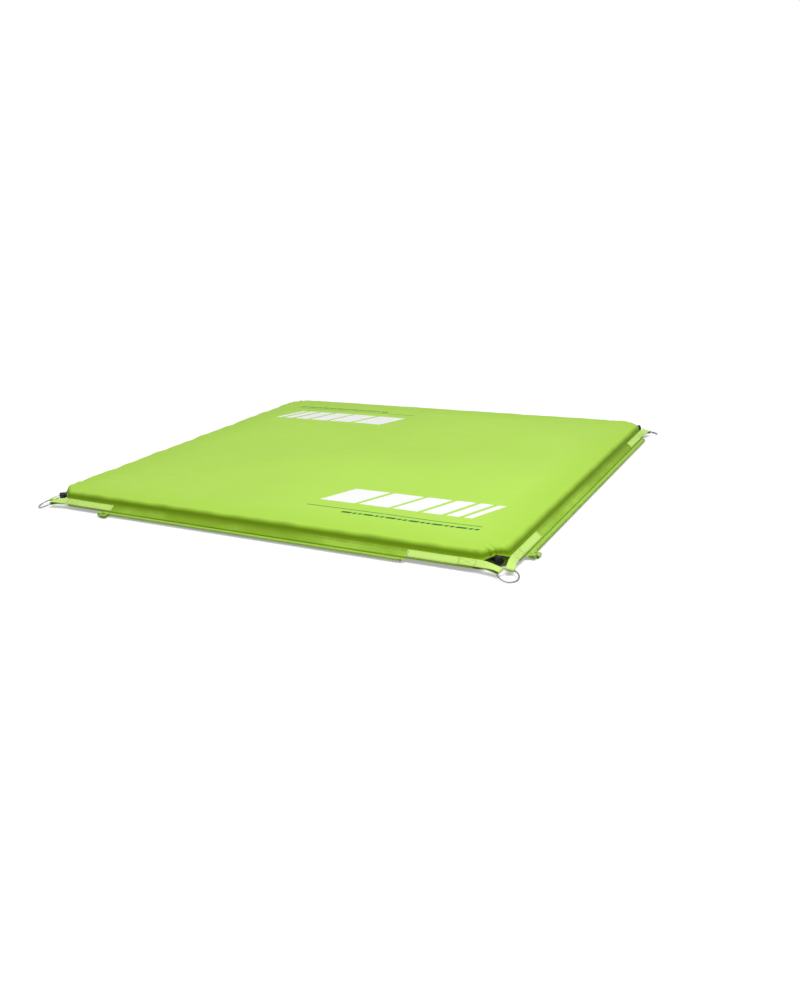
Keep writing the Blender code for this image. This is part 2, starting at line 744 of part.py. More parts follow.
def build_valve_body(corner):
    """Boat that fills the gap in the seam, with a bored stem."""
    name = f"valve_body_{CORNERS[corner]}"
    half_length = VALVE_HALF_LENGTH
    upper = []
    lower = []
    for share in CHAMFER_SHARES[1:-1]:
        along = half_length * share / CHAMFER_SHARES[-1]
        upper.append((along, valve_opening(share)))
        lower.append((along, -valve_opening(share)))
    outline = [(-half_length, 0)] + lower + [(half_length, 0)] + upper[::-1]
    middle = (VALVE_OUTER - VALVE_INNER) / 2
    upright = Matrix.Rotation(QUARTER, 4, "Z") @ Matrix.Rotation(QUARTER, 4, "X")
    mesh = plate_mesh(name, [outline], VALVE_OUTER + VALVE_INNER)
    mesh.transform(Matrix.Translation((middle, 0, 0)) @ upright)
    frame = valve_frame(corner)
    body = add_piece(name, mesh, frame, valve_plastic)
    stem = rod_mesh(f"{name}_stem", STEM_RADIUS, VALVE_OUTER - JOINT_LAP, STEM_END)
    combine(body, add_cutter(f"{name}_stem", stem, frame), "UNION")
    bore = rod_mesh(f"{name}_bore", BORE_RADIUS, -VALVE_INNER - OVERRUN, STEM_END + OVERRUN)
    combine(body, add_cutter(f"{name}_bore", bore, frame), "DIFFERENCE")


def build_valve_seal(corner):
    """Disc that closes the stem's mouth, with a spigot in its bore."""
    name = f"valve_seal_{CORNERS[corner]}"
    face = STEM_END + CLEARANCE
    profile = [
        (0, face + SEAL_THICKNESS),
        (SEAL_RADIUS, face + SEAL_THICKNESS),
        (SEAL_RADIUS, face),
        (SPIGOT_RADIUS, face),
        (SPIGOT_RADIUS, face - SPIGOT_LENGTH),
        (0, face - SPIGOT_LENGTH),
    ]
    mesh = bpy.data.meshes.new(name)
    vertices = [(radius, 0, along) for radius, along in profile]
    mesh.from_pydata(vertices, [(i, i + 1) for i in range(len(profile) - 1)], [])
    frame = valve_frame(corner) @ Matrix.Rotation(QUARTER, 4, "Y")
    seal = add_piece(name, mesh, frame, seal_rubber)
    screw = seal.modifiers.new("turn", "SCREW")
    screw.steps = TURN_SEGMENTS
    screw.render_steps = TURN_SEGMENTS
    screw.use_merge_vertices = True
    screw.merge_threshold = MERGE_DISTANCE


def build_valve_knob(corner):
    """Ribbed cup that turns on the stem and draws the seal off it."""
    name = f"valve_knob_{CORNERS[corner]}"
    outline = []
    for point in range(2 * KNOB_RIBS):
        angle = pi * point / KNOB_RIBS
        radius = KNOB_RADIUS - KNOB_GROOVE * (point % 2)
        outline.append((radius * cos(angle), radius * sin(angle)))
    mesh = plate_mesh(name, [outline], KNOB_END - KNOB_START)
    middle = (KNOB_START + KNOB_END) / 2
    mesh.transform(Matrix.Translation((middle, 0, 0)) @ Matrix.Rotation(QUARTER, 4, "Y"))
    frame = valve_frame(corner)
    knob = add_piece(name, mesh, frame, valve_plastic)
    cavity = rod_mesh(f"{name}_cavity", STEM_RADIUS + KNOB_FIT, KNOB_START - OVERRUN, KNOB_CAVITY_END)
    combine(knob, add_cutter(f"{name}_cavity", cavity, frame), "DIFFERENCE")


clear_scene()
pieces = new_collection(OBJECT_NAME)
cutters = new_collection("cutters")

cover_fabric = material("cover_fabric", (0.468, 0.730, 0.122), 0.5)
webbing = material("webbing", (0.610, 0.910, 0.223), 0.8)
zip_plastic = material("zip_plastic", (0.300, 0.490, 0.060), 0.45)
slider_metal = material("slider_metal", (0.420, 0.640, 0.100), 0.4)
foam = material("foam", (0.850, 0.800, 0.640), 0.95)
steel = material("steel", (0.560, 0.570, 0.580), 0.25, 1.0)
valve_plastic = material("valve_plastic", (0.012, 0.012, 0.013), 0.3)
seal_rubber = material("seal_rubber", (0.030, 0.030, 0.030), 0.7)

build_foam_core()
build_top_cover()
build_bottom_cover()
for side in range(4):
    build_zip_half(side)
    build_top_stop(side)
for side in (0, 1):
    build_retainer_box(side)
    build_slider(side)
    build_pull_tab(side)
for side in (2, 3):
    build_insertion_pin(side)
for corner in range(4):
    build_straps(corner)
    build_ring(corner)
    build_valve_body(corner)
    build_valve_seal(corner)
    build_valve_knob(corner)
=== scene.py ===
"""Looks of the square foam floating mat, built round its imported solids, in metres.

Soft pieces and faceted fittings are modelled again in full and stand for their solids. The
boxes, pins, stops, sliders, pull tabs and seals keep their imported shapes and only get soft
edges.
"""

from math import cos, pi, radians, sin, sqrt, tan

import bmesh
import bpy
import numpy as np
from mathutils import Matrix, Vector


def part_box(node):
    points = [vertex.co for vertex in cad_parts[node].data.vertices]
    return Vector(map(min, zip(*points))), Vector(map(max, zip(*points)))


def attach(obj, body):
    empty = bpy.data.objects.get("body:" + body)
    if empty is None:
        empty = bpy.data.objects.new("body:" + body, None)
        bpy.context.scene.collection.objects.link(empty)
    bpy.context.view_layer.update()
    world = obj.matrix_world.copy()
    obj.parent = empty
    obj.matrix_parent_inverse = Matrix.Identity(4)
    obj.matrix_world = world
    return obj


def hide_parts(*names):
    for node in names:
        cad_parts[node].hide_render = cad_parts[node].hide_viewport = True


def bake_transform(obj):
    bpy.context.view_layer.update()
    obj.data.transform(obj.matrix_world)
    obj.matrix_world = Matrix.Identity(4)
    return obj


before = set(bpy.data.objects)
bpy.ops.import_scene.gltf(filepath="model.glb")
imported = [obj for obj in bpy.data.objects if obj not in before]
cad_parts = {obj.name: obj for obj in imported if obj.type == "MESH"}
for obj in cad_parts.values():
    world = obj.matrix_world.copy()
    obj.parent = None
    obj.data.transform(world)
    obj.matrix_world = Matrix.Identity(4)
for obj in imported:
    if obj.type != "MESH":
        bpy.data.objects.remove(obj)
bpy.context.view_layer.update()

QUARTER = pi / 2
EIGHTH = pi / 4
DIAGONAL = sqrt(2)
SIDES = ("front", "right", "back", "left")
CORNERS = ("front_right", "back_right", "back_left", "front_left")

# The photograph's camera
LONG_SIDE = 1000
FOCAL_PIXELS = 948.6
MIDDLE_PIXEL = 302  # the photograph is cropped, so its optical axis lies left of its middle
FRAME_MIDDLE = 400
SENSOR = 36
CAMERA_PLACE = (1.4223, -2.6955, 0.8467)
CAMERA_RIGHT = (0.8542, 0.5171, -0.0541)
CAMERA_UP = (-0.1098, 0.2811, 0.9534)
CAMERA_BACK = (0.5082, -0.8084, 0.2969)

# The studio
LAMP_PLACE = (1.6, -1.45, 4.3)
LAMP_SIZE = 3.6
LAMP_POWER = 192
FILL_LIGHT = 0.32
FLOOR_REACH = 60
FLOOR_HEIGHT = -0.0004
FLOOR_TONE = 0.8
FLOOR_BOUNCE = 0.3  # its tone for the light that it throws back on the mat
FLOOR_GLOW = 0.36
FLOOR_FADE = (1.1, 2.4)  # from the middle, where the floor starts and ends turning white

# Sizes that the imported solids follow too
CLEARANCE = 0.0003
HALF_GAP = CLEARANCE / 2
SHEET = 0.0008
SEAM_HEIGHT = 0.028
WALL_RUN = 0.018
CROWN = 0.002
CHAMFER = 0.055
SHORTEST_LEG = 0.01375
FLANGE = 0.024
FLANGE_DROOP = radians(40)
CORNER_LIP = 0.004
TAPE = 0.0008
TAPE_COVER = 0.014
TAPE_BEND = 0.0015
TAPE_TAIL = 0.006
ZIP_DROOP = radians(10)
BEAD_START = 0.0065
BEAD_WIDTH = 0.003
BEAD_THICKNESS = 0.004
TOOTH_LENGTH = 0.0045
TOOTH_PITCH = 0.0085
BOX_GRIP = 0.010
PIN_LENGTH = 0.024
STOP_LENGTH = 0.005
WEBBING_WIDTH = 0.02
WEBBING = 0.0013
STRAP_DOWN = 0.011
STRAP_START = 0.24
STRAP_FREE = 0.058
STRAP_FOLD = 0.106
LOOP_RADIUS = 0.00415
RING_RADIUS = 0.025
RING_WIRE = 0.004
RING_TILT = radians(17)
LOOP_ANGLE = radians(215)
VALVE_HALF_HEIGHT = 0.0062
VALVE_HALF_LENGTH = 0.028
VALVE_INNER = 0.012
VALVE_OUTER = 0.006
STEM_RADIUS = 0.0065
STEM_END = 0.02
BORE_RADIUS = 0.004
SEAL_THICKNESS = 0.002
KNOB_START = 0.01
KNOB_END = 0.026
KNOB_RADIUS = 0.011
KNOB_GROOVE = 0.0008
KNOB_RIBS = 12
KNOB_FIT = 0.0004

# Worked out from the frame and the sizes above
FLANGE_RUN = FLANGE * cos(FLANGE_DROOP)
REACH, _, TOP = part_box("top_cover")[1]
HALF_SEAM = REACH - FLANGE_RUN
WALL_RISE = TOP - CROWN - SEAM_HEIGHT
FLANGE_TOP = HALF_GAP + SHEET
TAPE_DEPTH = FLANGE_TOP + CLEARANCE + TAPE / 2
BEND_DOWN = FLANGE + TAPE_BEND
ZIP_OUT = BEND_DOWN * cos(FLANGE_DROOP) - TAPE_DEPTH * sin(FLANGE_DROOP)
ZIP_HEIGHT = SEAM_HEIGHT - BEND_DOWN * sin(FLANGE_DROOP) - TAPE_DEPTH * cos(FLANGE_DROOP)
ON_FLANGE = (0, SEAM_HEIGHT, FLANGE_DROOP)
ON_ZIP = (ZIP_OUT, ZIP_HEIGHT, ZIP_DROOP)
BEAD_MIDDLE = BEAD_START + BEAD_WIDTH / 2
BEAD_END = BEAD_START + BEAD_WIDTH
LOOP_SHIFT = (RING_RADIUS - sqrt(RING_RADIUS**2 - (WEBBING_WIDTH / 2) ** 2)) / 2
RING_PLACE = sum(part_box("corner_ring_front_right"), Vector()) / 2

# How finely the soft sheets are divided
SIDE_STEPS = 84
BEND_STEPS = 5
CHAMFER_STEPS = 44
FLANGE_ROWS = 7
WALL_ROWS = 12
WALL_SPACING = 0.92  # below 1 the wall's rows lie closer together at the ridge
CROWN_INSETS = (0.0205, 0.024, 0.029, 0.036, 0.045, 0.056, 0.07, 0.09, 0.12, 0.16)
CROWN_INSETS += (0.21, 0.26, 0.33, 0.41, 0.5, 0.6)
FOAM_ROWS = 6
FOAM_STEPS = (20, 6)

# Form of the cover and its foam
CORNER_RADIUS = 0.02
FULLNESS = 0.55  # below 1 the wall stands steeper and turns more sharply at the ridge
OPENING_FADE = 1.5  # above 1 the valve's opening closes sooner up the wall
CROWN_FULL = 0.26
CROWN_POWER = 5
FOAM_INSET = 0.0042
VALVE_ROOM = 0.0135

# Waves by their depth and their lengths along a side. Those of the wall have a shift from
# side to side and the insets from the seam between which they rise, stay and die away.
RIPPLES = (0.0007, (0.173, 0.094, 0.061))
RIPPLE_GAP = 0.01
RIPPLE_RISE = 0.05
RIDGE_WAVES = (0.0020, (0.31, 0.137, 0.083), 1.3, (0.0005, 0.006, WALL_RUN, 0.045))
BACK_CALM = 0.4  # what the back ridge, which ends the view of the top, keeps of its waves
PUCKERS = (0.00028, (0.021, 0.0147, 0.0335), 2.9, (0.0002, 0.002, 0.006, 0.016))
LOW_PUCKERS = (0.0003, (0.019, 0.0153, 0.0315), 2.2, (0.0002, 0.002, 0.006, 0.016))
END_PUCKERS = (0.0018, (0.036, 0.0243, 0.0571), 1.9, (0.001, 0.005, 0.014, 0.03))
END_RUN = (HALF_SEAM - 0.2, HALF_SEAM - 0.07)
SWELL = 0.0007
SWELL_RUN = (0.02, 0.14)
SWELL_LENGTHS = (0.83, 0.67, 0.37)  # along X, along Y and aslant
FOLD_REACH = 0.062
FOLD_BAND = (-FOLD_REACH, -0.010, 0.009, 0.0135)
FOLD_DEPTH = 0.0014
USED_FOLD_DEPTH = 0.0024
FOLD_SPREAD = (0.026, 0.42)  # half their fan's width at the seam, and how it widens inward
# Waves across the fan by their share of the depth, rate, shift and way of changing by corner
FOLD_WAVES = ((1, 6.6, 0.5, 1), (0.6, 11.3, 1.9, -1), (0.3, 19.0, 0, 1))
DENTS = 0.0006
DENT_RUN = (0.03, 0.12)

# Webbing and sewing
STRIP_SHARES = (-1, -0.985, -0.94, -0.8, -0.4, 0, 0.4, 0.8, 0.94, 0.985, 1)
STRAP_PITCH = 0.005
TAIL_STEPS = 14
LOOP_STEPS = 14
STITCH_SHAPE = ((-1, 0.35), (-0.6, 0.95), (0.6, 0.95), (1, 0.35))  # along, and thickness
STITCH_SIDES = 6
STITCH_SHARE = 0.72
STITCH_WIDTH = 0.0007
STITCH_HEIGHT = 0.00055
FLANGE_STITCH = 0.0042
STRAP_STITCH = 0.0034
STITCH_GAP = 0.004
STITCH_EDGE = 0.0014
STRAP_SELVEDGE = 0.0022
TACK_TURNS = 11
TACK_SHIFT = 0.0011
TACK_PITCH = 0.01  # longer than its runs, which makes each of them one stitch
TACK_SHARE = 1.05
TAPE_SEAM = 0.003  # from the tape's upper edge
FOLD_GAP = 0.003  # from the webbing's fold to the last stitch before it

# Zip: the tooth's half width and distance beyond the bead, and its levels and their shrinking
TAPE_STEPS = 120
BEAD_STEP = TOOTH_PITCH / 8
BEAD_SQUARE = 0.55  # below 1 its section comes nearer to a rectangle
BEAD_WAIST = 0.74
BEAD_SIDES = 12
TOOTH_OUTLINE = ((0.0021, -0.0006), (0.0018, 0.0008), (0.00125, 0.0018), (0.0014, 0.0027))
TOOTH_OUTLINE += ((0.0017, TOOTH_LENGTH - 0.0012), (0.0013, TOOTH_LENGTH - 0.0004))
TOOTH_OUTLINE += ((0.0006, TOOTH_LENGTH),)
TOOTH_HALF = BEAD_THICKNESS / 2
TOOTH_LEVELS = ((-TOOTH_HALF, 0.74), (0.00045 - TOOTH_HALF, 1), (-0.0006, 1), (0, 0.93))
TOOTH_LEVELS += ((0.0006, 1), (TOOTH_HALF - 0.00045, 1), (TOOTH_HALF, 0.74))

# Ring, valve and knob. Profiles are pairs of distance along the axis and radius.
RING_STEPS = 96
RING_SIDES = 20
# The butt weld's bead: angle from its middle, spread and share of the wire's radius
WELD_BEAD = ((0, 0.05, 0.12), (0.1, 0.03, -0.06))
VALVE_STEPS = 48
VALVE_RIM = ((VALVE_INNER + VALVE_OUTER, 0), (0.0022, 0), (0.0006, 0.3), (0, 1), (0.0008, 1.7))
VALVE_TIP = 0.999  # share of its half length at which it is cut off
VALVE_LIP = 0.0012
THINNEST_VALVE = 0.00012
THREAD_RUN = (VALVE_OUTER + 0.0024, STEM_END - 0.0016, 0.0026)
THREAD_DEPTH = 0.0004
THREAD_SHAPE = ((0, THREAD_DEPTH), (0.0005, 0), (0.0010, 0), (0.0014, THREAD_DEPTH))
STEM_STEPS = 40
STEM_FOOT = ((-0.003, 0.0018), (0.0006, 0.0012), (0.0012, -THREAD_DEPTH))
BORE_DEPTH = STEM_RADIUS - BORE_RADIUS
STEM_HEAD = ((0.0006, THREAD_DEPTH), (0, 0.0009), (0, BORE_DEPTH - 0.0003))
STEM_HEAD += ((0.0005, BORE_DEPTH), (0.016, BORE_DEPTH))
KNOB_CAVITY = STEM_RADIUS + KNOB_FIT
CAVITY_END = STEM_END + 2 * CLEARANCE + SEAL_THICKNESS
KNOB_FOOT = ((0, 0.0014), (0.0004, 0.0006), (0.0012, 0))
KNOB_HEAD = ((0.0022, 0), (0.0012, 0.0002), (0.0004, 0.0008), (0, 0.0018), (0, 0.0032))
KNOB_HEAD += ((0.0004, 0.0036), (0.0010, 0.0040), (0.0011, 0.0064), (0.0011, 0.0090))
KNOB_PROFILE = [(CAVITY_END, KNOB_CAVITY - 0.0005), (CAVITY_END - 0.0005, KNOB_CAVITY)]
KNOB_PROFILE += [(KNOB_START + 0.0005, KNOB_CAVITY), (KNOB_START, KNOB_CAVITY + 0.0005)]
KNOB_PROFILE += [(KNOB_START + up, KNOB_RADIUS - inward) for up, inward in KNOB_FOOT]
KNOB_PROFILE += [(KNOB_END - back, KNOB_RADIUS - inward) for back, inward in KNOB_HEAD]
KNOB_STEPS = 144
GROOVE_POWER = 1.6
GROOVE_RUN = (KNOB_START + 0.0002, KNOB_END - 0.0003)
# Levels of the grip: how far below the knob's end, half its length and half its width
GRIP = ((0.0016, 0.0066, 0.0017), (0.0008, 0.0065, 0.0016), (0.0001, 0.0062, 0.0013))
GRIP += ((0, 0.0058, 0.0009),)
GRIP_STEPS = 24
GRIP_SQUARE = (0.7, 0.9)  # below 1 it comes nearer to a rectangle

# Edges that turn by more degrees than these stay sharp
VALVE_SHARP = 40
KNOB_SHARP = 50
REFINED_SHARP = 32

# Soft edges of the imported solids
BEVELLED = radians(25)  # edges that turn by more are bevelled
MERGED = 1e-5  # points that lie closer than this become one
STOP_EDGE = 0.00025
SEAL_EDGE = 0.0003
PIN_EDGE = 0.0004
FITTING_EDGE = 0.0006

LIME = (0.462, 0.742, 0.104)
# Slightly darker over the outer band of the top and on the wall
OUTER_TOP_LIME = (0.428, 0.705, 0.082)
WEBBING_LIME = (0.670, 0.965, 0.225)
TAPE_LIME = (0.372, 0.622, 0.062)
TOOTH_LIME = (0.285, 0.480, 0.040)
METAL_LIME = (0.320, 0.522, 0.054)
THREAD_GREEN = (0.330, 0.510, 0.080)
# Painted shade on the flange: darkest at its root under the wall, lighter towards its edge
FLANGE_SHADE_LIME = (0.225, 0.388, 0.022)
FLANGE_EDGE_SHADE_LIME = (0.275, 0.478, 0.031)
# Painted glints on the flange, where light would catch its ripples
GLINT_LIME = (0.420, 0.700, 0.082)
# Painted shade on the lower wall, darkest in the groove above the flange
GROOVE_SHADE_LIME = (0.172, 0.320, 0.001)
WELD_GREEN = (0.235, 0.360, 0.040)
PRINT_WHITE = (0.930, 0.940, 0.925)
PRINT_TEAL = (0.022, 0.165, 0.045)
STEEL = (0.270, 0.273, 0.278)
BLACK = (0.006, 0.006, 0.007)
RUBBER = (0.030, 0.030, 0.030)
FOAM = (0.850, 0.800, 0.640)
# Painted shade in the foam's cell pits, and the lighter walls between them
FOAM_CELL = (0.70, 0.64, 0.47)
FOAM_WALL = (0.88, 0.83, 0.68)

# Where the cover's colour changes, by how far down the flange: less than 0 on wall and top
ZONE = "down_the_flange"
OUTER_TOP_ZONE = (-0.150, -0.048)
# Painted shade on the lower wall, from where it starts to where it is full
GROOVE_SHADE_ZONE = (-0.030, -0.012)
# The flange's painted shade starts at the seam and lightens over the edge zone
SEAM_ZONE = (-0.0008, 0.0008)
WELD_ZONE = (0.0015, 0.0090)
EDGE_ZONE = (0.004, 0.020)

# Lengths at which weaves and ribs repeat
RIB = 0.0021
WEAVE = 0.0011
TWILL = 0.0016
TWILL_SLANT = 1.6
CORD = 0.0011
TAPE_WEAVE = (0.0007, 0.0009)

# Print on the top, given for the front right one: the other is the same, turned half round
PRINT_LEFT = 0.105
PRINT_RIGHT = 0.608
PRINT_BAND = (-0.505, -0.380)
PRINT_SLANT = 0.40
BAR_SHARES = (0.0, 0.24, 0.27, 0.47, 0.50, 0.66, 0.69, 0.81, 0.84, 0.92, 0.95, 1.0)
LINE_LEFT = 0.094
LINE_BAND = (-0.5594, -0.5556)
DASHES_START = 0.450
DASHES_BAND = (-0.5869, -0.5761)
DASH_RUN = 0.1317
DASH_RUNS = 3
DASH_SHARES = (0.0, 0.22, 0.26, 0.34, 0.38, 0.46, 0.50, 0.72, 0.76, 0.84, 0.88, 0.96)
HAIR = 0.0001


def turn_to_side(side):
    return Matrix.Rotation(side * QUARTER, 4, "Z")


def side_frame(side, out, height, droop):
    """X along the side, Y inward up the slope of the flange or zip, Z square to it."""
    place = Matrix.Translation((0, -(HALF_SEAM + out), height))
    return turn_to_side(side) @ place @ Matrix.Rotation(droop, 4, "X")


def corner_frame(corner, out, height):
    """X outward along the corner's diagonal, from a place at half this out from the sides."""
    turn = turn_to_side(corner) @ Matrix.Rotation(-EIGHTH, 4, "Z")
    return turn @ Matrix.Translation((DIAGONAL * out, 0, height))


def valve_frame(corner):
    """Starts in the middle of the chamfer's seam."""
    return corner_frame(corner, HALF_SEAM - CHAMFER / 2, SEAM_HEIGHT)


def ring_frame(corner):
    """Middle of the corner ring, X outward and down in its plane, Z square to it."""
    return corner_frame(corner, RING_PLACE.x, RING_PLACE.z) @ Matrix.Rotation(RING_TILT, 4, "Y")


def shade(colour, factor):
    return tuple(channel * factor for channel in colour)


class Nodes:
    """Short calls for the nodes of one tree."""

    def __init__(self, tree):
        self.tree = tree

    def feed(self, socket, value):
        if isinstance(value, bpy.types.NodeSocket):
            self.tree.links.new(value, socket)
        else:
            socket.default_value = value

    def node(self, kind, *values, **settings):
        """Outputs of a node that takes values into its first inputs. Settings name the rest."""
        made = self.tree.nodes.new(f"ShaderNode{kind}")
        for key, value in settings.items():
            if key in made.inputs:
                self.feed(made.inputs[key], value)
            else:
                setattr(made, key, value)
        for socket, value in zip(made.inputs, values):
            self.feed(socket, value)
        return made.outputs

    def math(self, operation, *values):
        return self.node("Math", *values, operation=operation)[0]

    def times(self, first, second):
        return self.math("MULTIPLY", first, second)

    def span(self, value, low, high, new_low=0.0, new_high=1.0):
        return self.node("MapRange", value, low, high, new_low, new_high)[0]

    def seen(self):
        """1 for the camera, reflections and what shows through glass, 0 for all other light."""
        path = self.node("LightPath")
        direct = self.math("MAXIMUM", path["Is Camera Ray"], path["Is Glossy Ray"])
        return self.math("MAXIMUM", direct, path["Is Transmission Ray"])


class Surface(Nodes):
    """One procedural material."""

    def __init__(self, name, colour, roughness, **inputs):
        self.material = bpy.data.materials.new(name)
        self.material.use_nodes = True
        super().__init__(self.material.node_tree)
        self.shader = self.tree.nodes["Principled BSDF"]
        self.shader.inputs["Base Color"].default_value = (*colour, 1)
        self.shader.inputs["Roughness"].default_value = roughness
        for key, value in inputs.items():
            self.shader.inputs[key.replace("_", " ")].default_value = value

    def coordinate(self, kind="Object"):
        return self.node("TexCoord")[kind]

    def split(self, kind="Object"):
        return self.node("SeparateXYZ", self.coordinate(kind))

    def noise(self, scale, detail, stretch=None):
        place = self.coordinate()
        if stretch:
            place = self.node("Mapping", Vector=place, Scale=stretch)[0]
        return self.node("TexNoise", Vector=place, Scale=scale, Detail=detail)[0]

    def patches(self, scale, detail, low=0.3, high=0.7, new_low=0.0, new_high=1.0):
        """Noise whose values from low to high are spread over the new range."""
        return self.span(self.noise(scale, detail), low, high, new_low, new_high)

    def wave(self, value, length):
        """Sine that repeats at this length."""
        return self.math("SINE", self.times(value, 2 * pi / length))

    def weave(self, along, across):
        """Height of a plain weave whose threads repeat at these lengths."""
        u, v, _ = self.split("UV")
        return self.times(self.wave(u, along), self.wave(v, across))

    def within(self, value, low, high):
        """1 where the value lies between both."""
        return self.math("COMPARE", value, (low + high) / 2, (high - low) / 2)

    def stripes(self, share, places):
        """1 and 0 in turn between these places of a share, starting with 1."""
        ramp = self.node("ValToRGB", share)[0]
        colours = ramp.node.color_ramp
        colours.interpolation = "CONSTANT"
        stops = colours.elements
        stops.remove(stops[1])
        stops[0].color = (1, 1, 1, 1)
        for index, place in enumerate(places[1:]):
            level = index % 2
            stops.new(place).color = (level, level, level, 1)
        return ramp

    def mix(self, share, first, second):
        made = self.node("Mix", share, data_type="RGBA")[2]
        for socket, value in zip(made.node.inputs[6:8], (first, second)):
            self.feed(socket, value if isinstance(value, bpy.types.NodeSocket) else (*value, 1))
        return made

    def tones(self, share, colour, low, high):
        """From the colour times low to the colour times high, by a share."""
        return self.mix(share, shade(colour, low), shade(colour, high))

    def stain(self, colour, base, factor, *patches):
        """The colour with patches of its base in a darker shade."""
        return self.mix(self.patches(*patches), colour, shade(base, factor))

    def finish(self, colour, layers, roughness=None):
        """Each layer is a height socket and the depth in metres that it stands for."""
        self.feed(self.shader.inputs["Base Color"], colour)
        if roughness:
            self.feed(self.shader.inputs["Roughness"], roughness)
        normal = (0, 0, 0)
        for height, depth in layers:
            normal = self.node("Bump", Height=height, Distance=depth, Normal=normal)[0]
        self.feed(self.shader.inputs["Normal"], normal)
        return self.material


def coated_fabric(name, printed=False):
    """Smooth coated cloth: faint weave, soft creases, uneven sheen and a welded flange, with painted
    shade on the lower wall and flange and painted glints on the flange.
    """
    made = Surface(name, LIME, 0.5, Sheen_Weight=0.01, Specular_IOR_Level=0.015)
    colour = made.tones(made.patches(2.2, 3), LIME, 0.96, 1.03)
    colour = made.stain(colour, LIME, 0.80, 9, 5, 0.55, 0.8, 0.0, 0.10)
    down = made.node("Attribute", attribute_name=ZONE)["Fac"]
    # Slightly darker towards the ridge, from about 150 mm in from the seam, and on the wall
    colour = made.mix(made.span(down, *OUTER_TOP_ZONE), colour, OUTER_TOP_LIME)
    # Painted shade: the lower wall darkens down into the groove above the flange
    colour = made.mix(made.span(down, *GROOVE_SHADE_ZONE, 0.0, 0.85), colour, GROOVE_SHADE_LIME)
    # Painted shade on the flange, darker at its root and lighter towards its edge
    slope = made.mix(made.span(down, *EDGE_ZONE), FLANGE_SHADE_LIME, FLANGE_EDGE_SHADE_LIME)
    # Painted glints: lighter patches on the flange that stand in for light caught by its ripples
    painted_glints = made.patches(3.8, 2, 0.45, 0.62, 0.0, 0.75)
    slope = made.mix(painted_glints, slope, GLINT_LIME)
    # The flange's painted shade is laid on from the seam, in patches of uneven strength
    uneven_shade_strength = made.patches(34, 4, 0.3, 0.7, 0.72, 1.0)
    colour = made.mix(made.times(made.span(down, *SEAM_ZONE), uneven_shade_strength), colour, slope)
    weld = made.within(down, *WELD_ZONE)
    mottle = made.patches(60, 2, 0.35, 0.65, 0.3, 0.7)
    colour = made.mix(made.times(weld, mottle), colour, WELD_GREEN)
    u, v, _ = made.split("UV")
    ribs = made.wave(made.math("ADD", u, v), RIB)
    scuffs = made.span(made.noise(14, 6, (1, 3, 1)), 0.35, 0.7, 0.42, 0.58)
    layers = [(made.noise(7, 3, (1, 2.4, 1)), 0.0005), (made.weave(WEAVE, WEAVE), 0.00003)]
    layers += [(made.noise(900, 2), 0.00002), (made.times(weld, ribs), 0.00006)]
    if printed:
        colour, ink = add_print(made, colour)
        layers.append((ink, 0.00008))
    return made.finish(colour, layers, scuffs)


def add_print(made, colour):
    """Slanted bars, a fine line and a row of ticks at two corners. Gives colour and ink."""
    x, y, _ = made.split()
    facing = made.times(made.math("SIGN", y), -1.0)
    x = made.times(x, facing)
    y = made.times(y, facing)
    shifted = made.math("SUBTRACT", y, PRINT_BAND[0])
    slanted = made.math("SUBTRACT", x, made.times(shifted, PRINT_SLANT))
    slant_width = (PRINT_BAND[1] - PRINT_BAND[0]) * PRINT_SLANT
    share = made.span(slanted, PRINT_LEFT, PRINT_RIGHT - slant_width)
    bars = made.times(made.stripes(share, BAR_SHARES), made.within(y, *PRINT_BAND))
    white = made.times(bars, made.within(share, HAIR, 1 - HAIR))
    line = made.times(made.within(y, *LINE_BAND), made.within(x, LINE_LEFT, PRINT_RIGHT))
    slanted = made.math("SUBTRACT", x, made.times(y, PRINT_SLANT))
    run = made.math("DIVIDE", made.math("SUBTRACT", slanted, DASHES_START), DASH_RUN)
    dashes = made.stripes(made.math("FRACT", run), DASH_SHARES)
    dashes = made.times(dashes, made.within(run, HAIR, DASH_RUNS - HAIR))
    dashes = made.times(dashes, made.within(y, *DASHES_BAND))
    teal = made.math("MAXIMUM", line, dashes)
    worn = made.patches(160, 4, 0.22, 0.3, 0.4, 1.0)
    colour = made.mix(made.times(white, worn), colour, PRINT_WHITE)
    colour = made.mix(made.times(teal, worn), colour, PRINT_TEAL)
    return colour, made.math("MAXIMUM", white, teal)


def webbing_cloth():
    """Woven strap: slanted twill on both halves, with cords along it."""
    made = Surface("webbing", WEBBING_LIME, 0.75, Sheen_Weight=0.1, Specular_IOR_Level=0.25)
    u, v, _ = made.split("UV")
    slant = made.times(made.math("ABSOLUTE", v), TWILL_SLANT)
    twill = made.wave(made.math("ADD", u, slant), TWILL)
    cords = made.wave(v, CORD)
    # Painted shade in the weave's low parts, lighter on its raised threads
    level = made.span(made.math("ADD", twill, cords), -2, 2)
    colour = made.tones(level, WEBBING_LIME, 0.86, 1.05)
    colour = made.stain(colour, WEBBING_LIME, 0.7, 18, 4, 0.5, 0.8, 0.0, 0.14)
    layers = ((twill, 0.00009), (cords, 0.00006), (made.noise(700, 3), 0.00006))
    return made.finish(colour, layers, made.patches(40, 3, 0.3, 0.7, 0.66, 0.84))


def tape_cloth():
    made = Surface("zip_tape", TAPE_LIME, 0.78, Sheen_Weight=0.08, Specular_IOR_Level=0.25)
    weave = made.weave(*TAPE_WEAVE)
    # Painted shade in the weave's low parts, lighter on its raised threads
    colour = made.tones(made.span(weave, -1, 1), TAPE_LIME, 0.88, 1.05)
    colour = made.stain(colour, TAPE_LIME, 0.68, 25, 4, 0.5, 0.8, 0.0, 0.15)
    layers = ((weave, 0.00006), (made.noise(800, 2), 0.00004))
    return made.finish(colour, layers, made.patches(50, 3, 0.3, 0.7, 0.7, 0.85))


